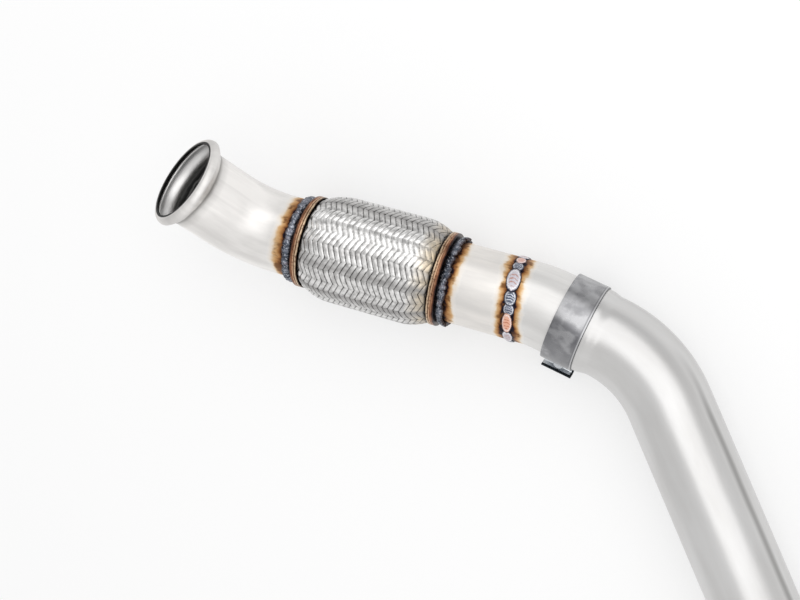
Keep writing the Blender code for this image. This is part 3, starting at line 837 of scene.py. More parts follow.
@dataclass(frozen=True)
class WeldFinish:
    """Oxidised weld metal."""

    kind: WeldKind
    dark_stops: Stops = (
        (0.0, (0.035, 0.040, 0.055)),
        (0.25, (0.10, 0.115, 0.145)),
        (0.5, (0.20, 0.21, 0.25)),
        (0.8, (0.17, 0.13, 0.15)),
        (1.0, (0.34, 0.34, 0.38)),
    )
    spark_colour: Colour = (0.60, 0.62, 0.68)
    dark_edge: Colour = (0.040, 0.020, 0.018)
    coin_stops: Stops = (
        (0.0, (0.84, 0.45, 0.31)),
        (0.30, (0.66, 0.44, 0.40)),
        (0.38, (0.60, 0.57, 0.62)),
        (0.62, (0.48, 0.48, 0.55)),
        (0.70, (0.06, 0.08, 0.12)),
        (1.0, (0.10, 0.11, 0.16)),
    )
    crest_stops: Stops = (
        (0.0, (0.50, 0.13, 0.06)),
        (0.30, (0.80, 0.58, 0.54)),
        (0.40, (0.46, 0.22, 0.17)),
        (0.62, (0.16, 0.17, 0.24)),
        (0.72, (0.72, 0.75, 0.82)),
        (1.0, (0.60, 0.62, 0.68)),
    )
    ring_colour: Colour = (0.93, 0.93, 0.96)
    coin_edge: Colour = (0.03, 0.03, 0.05)
    fleck_depth: float = 0.5 * MM

    def material(self) -> bpy.types.Material:
        """Return the finish as a material."""
        sheet = Sheet(f"{self.kind.value}_weld")
        flecks = sheet.noise(1400.0, 3.0)
        if self.kind is WeldKind.DARK:
            sheet.paint(self.dark(sheet))
            sheet.feed("Roughness", 0.36)
        else:
            sheet.paint(self.coined(sheet, flecks))
            sheet.feed("Roughness", 0.28)
        sheet.feed("Metallic", 1.0)
        sheet.bump(flecks, 0.8, self.fleck_depth)
        return sheet.material

    def dark(self, sheet: Sheet) -> Socket:
        """Colour a hot weld: blue-grey coins with bright sparks and burnt edges.

        Args:
            sheet: the material's nodes.

        Returns:
            The colour.
        """
        drift = sheet.centred(sheet.noise(110.0, 3.0), 1.6)
        drift = sheet.total(sheet.reckon("MULTIPLY", sheet.attribute("tone"), 0.5), drift)
        sparks = sheet.fade(sheet.noise(620.0, 3.0), (0.52, 0.0), (0.64, 1.0))
        sparks = sheet.reckon("MULTIPLY", sparks, 0.7)
        body = sheet.mixed(sparks, sheet.ramp(drift, self.dark_stops), self.spark_colour)
        edge = sheet.fade(sheet.attribute("rim"), (0.66, 0.0), (1.0, 1.0))
        return sheet.mixed(sheet.reckon("MULTIPLY", edge, 0.85), body, self.dark_edge)

    def coined(self, sheet: Sheet, flecks: Socket) -> Socket:
        """Colour a cooler weld: each coin rippled in its middle, ringed with white, edged dark.

        Args:
            sheet: the material's nodes.
            flecks: fine noise that breaks the white rings up.

        Returns:
            The colour.
        """
        rim, tone = sheet.attribute("rim"), sheet.attribute("tone")
        bent = sheet.total(sheet.reckon("MULTIPLY", sheet.attribute("ripple"), 21.0),
                           sheet.centred(sheet.noise(420.0, 3.0), 8.0))
        ridges = sheet.spread(sheet.reckon("SINE", bent), 0.0, 1.0)
        ridges = sheet.fade(ridges, (0.0, 0.0), (0.35, 0.0), (0.75, 1.0))
        middle = sheet.fade(rim, (0.48, 0.9), (0.72, 0.0))
        body = sheet.mixed(sheet.reckon("MULTIPLY", ridges, middle),
                           sheet.ramp(tone, self.coin_stops), sheet.ramp(tone, self.crest_stops))
        ring = sheet.fade(rim, (0.0, 0.0), (0.60, 0.1), (0.74, 1.0), (0.86, 0.1))
        ring = sheet.reckon("MULTIPLY", ring, sheet.fade(flecks, (0.4, 0.1), (0.55, 0.95)))
        body = sheet.mixed(ring, body, self.ring_colour)
        edge = sheet.total(rim, sheet.centred(sheet.noise(500.0, 2.0), 0.26))
        return sheet.mixed(sheet.fade(edge, (0.82, 0.0), (0.93, 1.0)), body, self.coin_edge)


@dataclass(frozen=True)
class CollarFinish:
    """Stainless collar tinted to bronze by the weld beside it, with painted shadow at its open rim
    and beside the weld, and painted shade by the groove nearer its rim.
    """

    name: str
    place: Matrix
    rim: float
    face: float
    side: float
    wander: float = 2.2 * MM
    # bronze tint with painted shadow: black at the open rim, a dark line by the groove nearer the
    # rim, darkening towards the end wall beside the weld
    bronze_and_shade_stops: Stops = (
        (0.00, (0.012, 0.010, 0.009)),
        (0.08, (0.20, 0.13, 0.08)),
        (0.16, (0.66, 0.52, 0.37)),
        (0.30, (0.60, 0.43, 0.28)),
        (0.36, (0.16, 0.085, 0.05)),
        (0.46, (0.56, 0.36, 0.23)),
        (0.62, (0.46, 0.26, 0.16)),
        (0.78, (0.24, 0.11, 0.06)),
        (0.88, (0.08, 0.035, 0.025)),
        (1.00, (0.02, 0.014, 0.014)),
    )
    spot_colour: Colour = (0.12, 0.055, 0.035)

    def material(self) -> bpy.types.Material:
        """Return the finish as a material."""
        sheet = Sheet(self.name)
        height = sheet.along(self.place.translation, self.place.col[2].xyz * self.side)
        height = sheet.total(height, sheet.centred(sheet.noise(150.0, 4.0), self.wander))
        share = sheet.reckon("SUBTRACT", height, self.rim)
        share = sheet.reckon("DIVIDE", share, self.face - self.rim)
        spots = sheet.fade(sheet.noise(420.0, 3.0), (0.52, 0.0), (0.66, 0.75))
        sheet.paint(sheet.mixed(spots, sheet.ramp(share, self.bronze_and_shade_stops), self.spot_colour))
        sheet.feed("Metallic", 1.0)
        sheet.feed("Roughness", sheet.spread(sheet.noise(400.0), 0.22, 0.4))
        return sheet.material


@dataclass(frozen=True)
class WireFinish:
    """Bright drawn wire, with painted light and shade in lengthwise bands round the barrel and
    painted shade in the hollows of the weave, turned to straw near the rear collar.
    """

    name: str
    place: Matrix
    half: float
    bright: Colour = (0.92, 0.91, 0.90)
    side_shade_colour: Colour = (0.36, 0.35, 0.345)
    patch_colour: Colour = (0.26, 0.255, 0.25)
    weave_shade_colour: Colour = (0.030, 0.028, 0.026)
    rim_colour: Colour = (0.012, 0.011, 0.010)
    rim_shadow: float = 4.0 * MM
    tint_wander: float = 9.0 * MM
    # painted light and shade: how far the wire is darkened at each turn round the barrel
    side_shade_bands: Levels = (
        (0.0, 0.3), (0.15, 0.05), (0.3, 0.5), (0.42, 0.1), (0.52, 0.55), (0.58, 0.3),
        (0.611, 0.95), (0.635, 0.26), (0.685, 0.24), (0.705, 0.88), (0.722, 0.35), (0.735, 0.02),
        (0.758, 0.6), (0.778, 0.0), (0.865, 0.0), (0.885, 0.2), (0.917, 0.95), (0.95, 0.5),
        (1.0, 0.3),
    )
    # painted light: the hollows' painted shade is lightened where the bands are lit
    gap_light_bands: Levels = (
        (0.25, 1.0), (0.30, 0.4), (0.36, 0.4), (0.41, 1.0),
        (0.755, 1.0), (0.795, 0.4), (0.86, 0.4), (0.90, 1.0),
    )

    def material(self) -> bpy.types.Material:
        """Return the finish as a material."""
        sheet = Sheet(self.name)
        height = sheet.along(self.place.translation, self.place.col[2].xyz)
        turn = self.turn_share(sheet)
        clean = self.tinted(sheet, height)
        # painted shade on the stretches of the barrel turned from the light
        side_shaded = sheet.mixed(sheet.fade(turn, *self.side_shade_bands), clean, self.side_shade_colour)
        patches = sheet.fade(sheet.noise(210.0, 3.0), (0.45, 0.0), (0.62, 0.5))
        side_shaded = sheet.mixed(patches, side_shaded, self.patch_colour)
        pits = sheet.fade(sheet.noise(380.0, 2.0), (0.50, 0.0), (0.60, 1.0))
        # painted shade in the hollows of the weave, at the strands' edges and under them
        depth = sheet.reckon("MULTIPLY", sheet.attribute("weave_shade"), sheet.spread(pits, 0.75, 1.6))
        depth = sheet.reckon("MULTIPLY", depth, sheet.fade(turn, *self.gap_light_bands))
        woven = sheet.mixed(depth, side_shaded, self.weave_shade_colour)
        inset = sheet.reckon("SUBTRACT", self.half, sheet.reckon("ABSOLUTE", height))
        inset = sheet.reckon("DIVIDE", inset, self.rim_shadow)
        sheet.paint(sheet.mixed(sheet.fade(inset, (0.25, 1.0), (0.8, 0.0)), woven, self.rim_colour))
        sheet.feed("Metallic", 1.0)
        sheet.feed("Roughness", sheet.spread(sheet.noise(500.0), 0.22, 0.36))
        sheet.feed("Anisotropic", 0.8)
        sheet.feed("Anisotropic Rotation", 0.25)
        sheet.feed("Tangent", sheet.add("ShaderNodeTangent", direction_type="UV_MAP").outputs[0])
        return sheet.material

    def tinted(self, sheet: Sheet, height: Socket) -> Socket:
        """Colour clean wire, which heat has turned to straw at the collars.

        Args:
            sheet: the material's nodes.
            height: distance from the barrel's middle.

        Returns:
            The colour.
        """
        wander = sheet.centred(sheet.noise(90.0, 3.0), self.tint_wander)
        share = sheet.reckon("DIVIDE", sheet.total(height, wander, self.half), 2 * self.half)
        return sheet.ramp(share, (
            (0.00, (0.50, 0.40, 0.27)),
            (0.06, (0.72, 0.63, 0.50)),
            (0.15, self.bright),
            (0.97, self.bright),
            (1.00, (0.52, 0.47, 0.42)),
        ))

    def turn_share(self, sheet: Sheet) -> Socket:
        """Measure how far round the barrel a point lies, with a slight wander.

        Args:
            sheet: the material's nodes.

        Returns:
            The share of a turn, from 0 to 1.
        """
        middle = self.place.translation
        right, up = (sheet.along(middle, self.place.col[index].xyz) for index in range(2))
        turn = sheet.reckon("DIVIDE", sheet.reckon("ARCTAN2", up, right), math.tau)
        return sheet.total(turn, 0.5, sheet.centred(sheet.noise(60.0, 3.0), 0.018))


@dataclass(frozen=True)
class PlainMetalFinish:
    """Metal of one colour with cloudy variation and a fine grain."""

    name: str
    colour: Colour
    shade: Colour
    roughness: float
    place: Matrix
    grain_stretch: float = 0.08
    grain_depth: float = 0.1 * MM

    def material(self) -> bpy.types.Material:
        """Return the finish as a material."""
        sheet = Sheet(self.name)
        sheet.paint(sheet.mixed(sheet.noise(60.0, 3.0), self.colour, self.shade))
        sheet.feed("Metallic", 1.0)
        grain = sheet.noise(1100.0, 2.0, sheet.stretched(self.place, self.grain_stretch))
        sheet.feed("Roughness", sheet.spread(grain, self.roughness - 0.06, self.roughness + 0.08))
        sheet.bump(grain, 0.1, self.grain_depth)
        return sheet.material


@dataclass(frozen=True)
class StrapFinish:
    """Rolled strap steel: cloudy grey, painted with darker and paler stretches of shade and
    reflection round the band, a painted highlight and shadow along its edge, and ears painted pale
    as if lit, with painted shadow at their edge.
    """

    name: str
    place: Matrix
    width: float
    ear_root: float
    lip_shadow: float = 10.0 * MM
    edge_shadow: float = 0.06
    # painted shade and reflection: darker and paler stretches by the turn round the band
    turn_shade_stops: Stops = (
        (0.30, (0.25, 0.25, 0.26)),
        (0.50, (0.27, 0.27, 0.28)),
        (0.60, (0.14, 0.14, 0.15)),
        (0.67, (0.16, 0.16, 0.17)),
        (0.72, (0.44, 0.44, 0.45)),
        (0.80, (0.47, 0.47, 0.48)),
        (0.88, (0.38, 0.38, 0.39)),
    )
    # painted shadow at the very edge, then a painted highlight, then shade
    edge_light_stops: Stops = (
        (0.012, (0.05, 0.05, 0.055)),
        (0.03, (0.52, 0.52, 0.53)),
        (0.05, (0.52, 0.52, 0.53)),
        (0.07, (0.18, 0.18, 0.19)),
    )
    blotch_colour: Colour = (0.20, 0.20, 0.21)
    scuff_colour: Colour = (0.55, 0.55, 0.56)
    # ears painted pale as if lit, their lip and edge in painted shadow
    ear_light_colour: Colour = (0.74, 0.77, 0.80)
    ear_shadow_colour: Colour = (0.03, 0.035, 0.04)

    def material(self) -> bpy.types.Material:
        """Return the finish as a material."""
        sheet = Sheet(self.name)
        middle = self.place.translation
        right, up, along = (sheet.along(middle, self.place.col[index].xyz) for index in range(3))
        across = sheet.total(sheet.reckon("DIVIDE", along, self.width), 0.5)
        # painted highlight and shadow along the band's edge
        edge = sheet.fade(across, (0.075, 0.8), (0.11, 0.0))
        body = sheet.mixed(edge, self.face(sheet, right, up), sheet.ramp(across, self.edge_light_stops))
        # painted shadow on the ear's lip and along its edge
        ear_shadow_mask = sheet.reckon("MAXIMUM", sheet.reckon("GREATER_THAN", up, self.lip_shadow),
                              sheet.reckon("LESS_THAN", across, self.edge_shadow))
        ears = sheet.mixed(ear_shadow_mask, self.ear_light_colour, self.ear_shadow_colour)
        on_ear = sheet.reckon("GREATER_THAN", right, self.ear_root)
        sheet.paint(sheet.mixed(on_ear, body, ears))
        sheet.feed("Metallic", 1.0)
        sheet.feed("Roughness", sheet.spread(sheet.noise(160.0), 0.22, 0.36))
        return sheet.material

    def face(self, sheet: Sheet, right: Socket, up: Socket) -> Socket:
        """Paint shade and reflection on the band's outer face by its turn, then blotch and scuff
        it.

        Args:
            sheet: the material's nodes.
            right: distance from the axis towards the gap.
            up: distance from the axis towards the upper ear's side.

        Returns:
            The colour.
        """
        turn = sheet.reckon("DIVIDE", sheet.reckon("ARCTAN2", up, right), math.pi)
        wander = sheet.centred(sheet.noise(50.0, 3.0), 0.10)
        # painted shade and reflection by the turn round the band
        face = sheet.ramp(sheet.total(sheet.reckon("ABSOLUTE", turn), wander), self.turn_shade_stops)
        blotches = sheet.fade(sheet.noise(85.0, 4.0), (0.42, 0.0), (0.62, 0.6))
        face = sheet.mixed(blotches, face, self.blotch_colour)
        scuffs = sheet.noise(70.0, 4.0, sheet.stretched(self.place, 0.6))
        return sheet.mixed(sheet.fade(scuffs, (0.56, 0.0), (0.68, 0.4)), face, self.scuff_colour)


def dress(piece: Piece, node: str, slot: str, *finishes: object) -> None:
    """Give a piece its finishes, attach it to the root and hide the solid it stands for.

    Args:
        piece: the finished piece.
        node: the solid that it replaces.
        slot: not used.
        *finishes: the finish of its skin, and that of its inner wall where it has one.
    """
    slots = piece.data.materials
    for index, finish in enumerate(finishes):
        if index < len(slots):
            slots[index] = finish.material()
        else:
            slots.append(finish.material())
    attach(piece, "root")
    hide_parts(node)
    LOG.info("%s: %d faces", piece.name, len(piece.data.polygons))


def dress_solid(node: str, finish: object) -> None:
    """Give a solid that stays in view its finish.

    Args:
        node: the solid's name.
        finish: the finish whose material it takes.
    """
    solid = bpy.data.objects[node]
    solid.data.materials.clear()
    solid.data.materials.append(finish.material())
    LOG.info("%s: dressed as it is", node)


@dataclass(frozen=True)
class Tubing:
    """The four tubes: inlet elbow, outlet stub, slip tube and mid pipe."""

    route: Route
    tube: Tube
    elbow_steps: int = 24
    lip_radius: float = 46.2 * MM
    lip_face_radius: float = 41.4 * MM
    lip_mouth_radius: float = 39.0 * MM
    lip_crown: float = 6.0 * MM
    lip_length: float = 20.5 * MM
    lip_steps: int = 12
    lip_curve: float = 1.7
    crown_steps: int = 10
    crease_setback: float = 5.5 * MM
    slip_setback: float = 9.0 * MM
    slip_steps: int = 6
    main_steps: int = 28
    socket_flare: float = 11.0 * MM
    socket_steps: int = 8
    socket_depth: float = 43.0 * MM
    inlet_toe: float = 5.8 * MM
    inlet_reach: float = 15.0 * MM
    outlet_toe: float = 3.8 * MM
    outlet_reach: float = 12.0 * MM
    seam_half: float = 4.6 * MM
    seam_reach: float = 11.5 * MM

    def elbow(self) -> None:
        """Model the inlet elbow with its flared and rolled lip."""
        route, tube = self.route, self.tube
        seat = route.elbow_seat(tube.seat_depth)
        path = RingPath("inlet_elbow_skin", tube.radius, tube.sides)
        path.begin()
        path.forward(route.elbow_lead + tube.seat_depth)
        path.bend(route.inlet_bend_radius, route.inlet_bend_angle, self.elbow_steps)
        path.forward(route.inlet_run - self.lip_length)
        self.roll_lip(path)
        piece = path.finish(seat, tube.wall, sharp=50.0)
        mouth = seat @ path.heading
        crease = path.rings[-1][1] - self.lip_crown - self.crease_setback
        hot = TintSite(route.flex_end(1.0), self.inlet_toe, reach=self.inlet_reach)
        steel = TubeFinish("elbow_steel", (hot,), crease=crease, mouth=mouth.translation)
        dress(piece, "inlet_elbow", "satin_tube", steel, BoreFinish("elbow_bore", mouth, -1.0))

    def roll_lip(self, path: RingPath) -> None:
        """Flare the elbow's mouth, then roll its lip round to the opening.

        Args:
            path: the elbow's path, arrived where the flare starts.
        """
        rise = self.lip_radius - self.tube.radius
        slope = self.lip_length - self.lip_crown
        for step in range(1, self.lip_steps + 1):
            share = eased((step / self.lip_steps) ** self.lip_curve)
            path.forward(slope / self.lip_steps, self.tube.radius + rise * share)
        crown = self.lip_radius - self.lip_face_radius
        reached = 0.0
        for step in range(1, self.crown_steps + 1):
            turn = math.radians(90.0 * step / self.crown_steps)
            height = self.lip_crown * math.sin(turn)
            path.forward(height - reached, self.lip_face_radius + crown * math.cos(turn))
            reached = height
        path.forward(0.0, self.lip_mouth_radius)

    def seam_tint(self) -> TintSite:
        """Return the tint on both sides of the slanting seam weld."""
        route = self.route
        return TintSite(route.seam(), self.seam_half, 0.0, route.seam_slant, self.seam_reach)

    def stub(self) -> None:
        """Model the straight stub between the seam and the flex coupling."""
        route, tube = self.route, self.tube
        start = advance(route.seam(), tube.gap / 2)
        path = RingPath("outlet_stub_skin", tube.radius, tube.sides)
        path.begin()
        path.forward(route.stub_length + tube.seat_depth - tube.gap / 2)
        piece = path.finish(start, tube.wall)
        hot = TintSite(route.flex_end(-1.0), self.outlet_toe, -1.0, reach=self.outlet_reach)
        steel = TubeFinish("stub_steel", (hot, self.seam_tint()), steel=(0.87, 0.84, 0.805))
        dress(piece, "outlet_stub", "satin_tube", steel, BoreFinish("stub_bore", start))

    def slip_tube(self) -> None:
        """Model the eased tube that slides into the socket."""
        route, tube = self.route, self.tube
        start = advance(route.joint(), self.slip_setback)
        path = RingPath("slip_tube_skin", tube.radius, tube.sides)
        path.begin()
        path.forward(route.joint_run - self.slip_setback)
        path.bend(route.ease_bend_radius, route.ease_bend_angle, self.slip_steps)
        path.forward(route.seam_from_bend - tube.gap / 2)
        piece = path.finish(start, tube.wall)
        steel = TubeFinish("slip_tube_steel", (self.seam_tint(),), steel=(0.80, 0.79, 0.775),
                           shade=(0.58, 0.57, 0.56), roughness=0.43)
        dress(piece, "slip_tube", "satin_tube", steel, BoreFinish("slip_tube_bore", start))

    def mid_pipe(self) -> None:
        """Model the outlet leg, the main bend and the socket in one tube."""
        route, tube = self.route, self.tube
        swage = tube.gap + tube.wall
        path = RingPath("mid_pipe_skin", tube.radius, tube.sides)
        path.begin()
        path.forward(route.leg_length)
        path.bend(route.main_bend_radius, route.main_bend_angle, self.main_steps)
        for step in range(1, self.socket_steps + 1):
            radius = tube.radius + swage * eased(step / self.socket_steps)
            path.forward(self.socket_flare / self.socket_steps, radius)
        path.forward(self.socket_depth - self.socket_flare)
        piece = path.finish(route.outlet(), tube.wall)
        # the leg's steel carries a painted dark reflection line at this turn round the tube
        steel = TubeFinish("mid_pipe_steel", steel=BRIGHT_STEEL, shade=(0.52, 0.51, 0.50),
                           roughness=0.31, cloudiness=0.5, streakiness=0.12,
                           reflection_turn=math.radians(145.0))
        dress(piece, "mid_pipe", "satin_tube", steel, BoreFinish("mid_pipe_bore", route.outlet()))


@dataclass(frozen=True)
class Coin:
    """One solidified ripple of a weld: where it lies round the tube, its size and its tone."""

    degrees: float
    length: float
    width: float
    tone: float


@dataclass(frozen=True)
class Bead:
    """Row of overlapping weld coins round a tube."""

    name: str
    radius: float
    height: float
    proud: float
    coins: tuple[Coin, ...]
    tilt: float = 0.0
    wander: float = 0.2 * MM
    lean: float = 0.0
    uneven: float = 0.08
    ripple_bow: float = 0.35
    seed: int = 3

    def model(self) -> Piece:
        """Model a coin of unit size, with its rim and its ripples written on its points."""
        leave_edit_mode()
        bpy.ops.mesh.primitive_uv_sphere_add(segments=16, ring_count=10, radius=1.0)
        coin = bpy.context.object
        points = points_of(coin)
        write_layer(coin, "rim", np.hypot(points[:, 0], points[:, 1]))
        write_layer(coin, "ripple", points[:, 1] + self.ripple_bow * points[:, 0] ** 2)
        coin.data.transform(Matrix.Rotation(math.radians(90.0), 4, "Y"))
        return coin

    def lay(self, model: Piece, coin: Coin, chance: random.Random) -> Piece:
        """Lay one coin in the row, a little off its place and its size.

        Args:
            model: the coin of unit size.
            coin: where it lies, how large it is and its tone.
            chance: source of its drift and growth.

        Returns:
            The coin as a piece of its own.
        """
        copy = copied(model)
        write_layer(copy, "tone", np.full(len(copy.data.vertices), coin.tone))
        drift = chance.uniform(-1.0, 1.0) * self.wander
        growth = chance.uniform(1.0 - self.uneven, 1.0 + self.uneven)
        around = Matrix.Rotation(math.radians(coin.degrees), 4, "Z")
        outward = Matrix.Translation((self.radius, 0, self.height + drift))
        turn = Matrix.Rotation(self.tilt, 4, "Y") @ Matrix.Rotation(self.lean, 4, "Z")
        size = Matrix.Diagonal((self.proud * growth, coin.length / 2, coin.width / 2 * growth, 1.0))
        copy.data.transform(around @ outward @ turn @ size)
        return copy

    def build(self, place: Matrix, skew: float = 0.0) -> Piece:
        """Lay the coins round the tube and join them.

        Args:
            place: heading in the weld's middle.
            skew: how far the weld leans along the axis for each metre sideways.

        Returns:
            The finished bead.
        """
        model = self.model()
        chance = random.Random(self.seed)
        copies = [self.lay(model, coin, chance) for coin in self.coins]
        bpy.data.objects.remove(model, do_unlink=True)
        bead = joined(copies, self.name)
        bead.data.shade_smooth()
        shear = Matrix.Identity(4)
        shear[2][0] = -skew
        set_in_place(bead, place @ shear)
        return bead


@dataclass(frozen=True)
class Welds:
    """The two fillet welds at the flex coupling and the seam weld."""

    route: Route
    tube: Tube
    fillet_coins: int = 120
    fillet_jitter: float = 0.15
    fillet_length: float = 7.6 * MM
    fillet_widths: tuple[float, float] = (0.86, 1.1)
    fillet_rise: float = 1.7 * MM
    fillet_proud: float = 2.2 * MM
    fillet_tilt: float = math.radians(24.0)
    fillet_lean: float = math.radians(5.0)
    fillet_wander: float = 0.6 * MM
    fillet_uneven: float = 0.16
    blob: Coin = Coin(18.0, 10.0 * MM, 11.0 * MM, 0.1)
    seam_inset: float = 0.1 * MM
    seam_proud: float = 1.7 * MM
    seam_and_reflection_wander: float = 0.4 * MM
    seam_lean: float = math.radians(1.5)
    seam_coins: tuple[Coin, ...] = (
        Coin(8.0, 15.0 * MM, 9.5 * MM, 0.95),
        Coin(31.0, 21.0 * MM, 10.0 * MM, 0.42),
        Coin(58.5, 23.0 * MM, 11.0 * MM, 0.02),
        Coin(78.5, 12.5 * MM, 10.5 * MM, 1.0),
        Coin(94.0, 16.0 * MM, 12.5 * MM, 0.78),
        Coin(119.0, 25.0 * MM, 14.0 * MM, 0.40),
        Coin(142.0, 13.0 * MM, 11.0 * MM, 0.9),
        Coin(158.0, 15.0 * MM, 10.5 * MM, 0.2),
    )
    hidden_coins: int = 13
    hidden_start: float = 174.0
    hidden_step: float = 14.5
    hidden_length: float = 14.0 * MM
    hidden_width: float = 10.5 * MM

    def fillet(self, name: str, side: float, height: float, width: float,
               blobs: tuple[Coin, ...] = ()) -> None:
        """Lay the dark weld between a collar and its tube.

        Args:
            name: node that it stands for.
            side: one for the inlet's side, minus one for the outlet's side.
            height: shift of the bead along the axis.
            width: width of its coins.
            blobs: larger coins where the arc stopped.
        """
        chance = random.Random(name)
        coins = []
        for index in range(self.fillet_coins):
            place = index + chance.uniform(-self.fillet_jitter, self.fillet_jitter)
            coin_width = width * chance.uniform(*self.fillet_widths)
            coins.append(Coin(360.0 * place / self.fillet_coins, self.fillet_length, coin_width,
                              chance.random()))
        bead = Bead(f"{name}_coins", self.tube.radius + self.fillet_rise, height,
                    self.fillet_proud, (*coins, *blobs), tilt=side * self.fillet_tilt,
                    wander=self.fillet_wander, lean=self.fillet_lean, uneven=self.fillet_uneven)
        dress(bead.build(self.route.flex_end(side)), name, "dark_weld", WeldFinish(WeldKind.DARK))

    def seam(self) -> None:
        """Lay the coined weld between the stub and the slip tube, its unseen half in even coins."""
        chance = random.Random("seam")
        hidden = tuple(Coin(self.hidden_start + self.hidden_step * index, self.hidden_length,
                            self.hidden_width, chance.random())
                       for index in range(self.hidden_coins))
        bead = Bead("seam_weld_coins", self.tube.radius - self.seam_inset, 0.0, self.seam_proud,
                    self.seam_coins + hidden, wander=self.seam_and_reflection_wander, lean=self.seam_lean)
        piece = bead.build(self.route.seam(), self.route.seam_slant)
        dress(piece, "seam_weld", "pale_weld", WeldFinish(WeldKind.COINED))


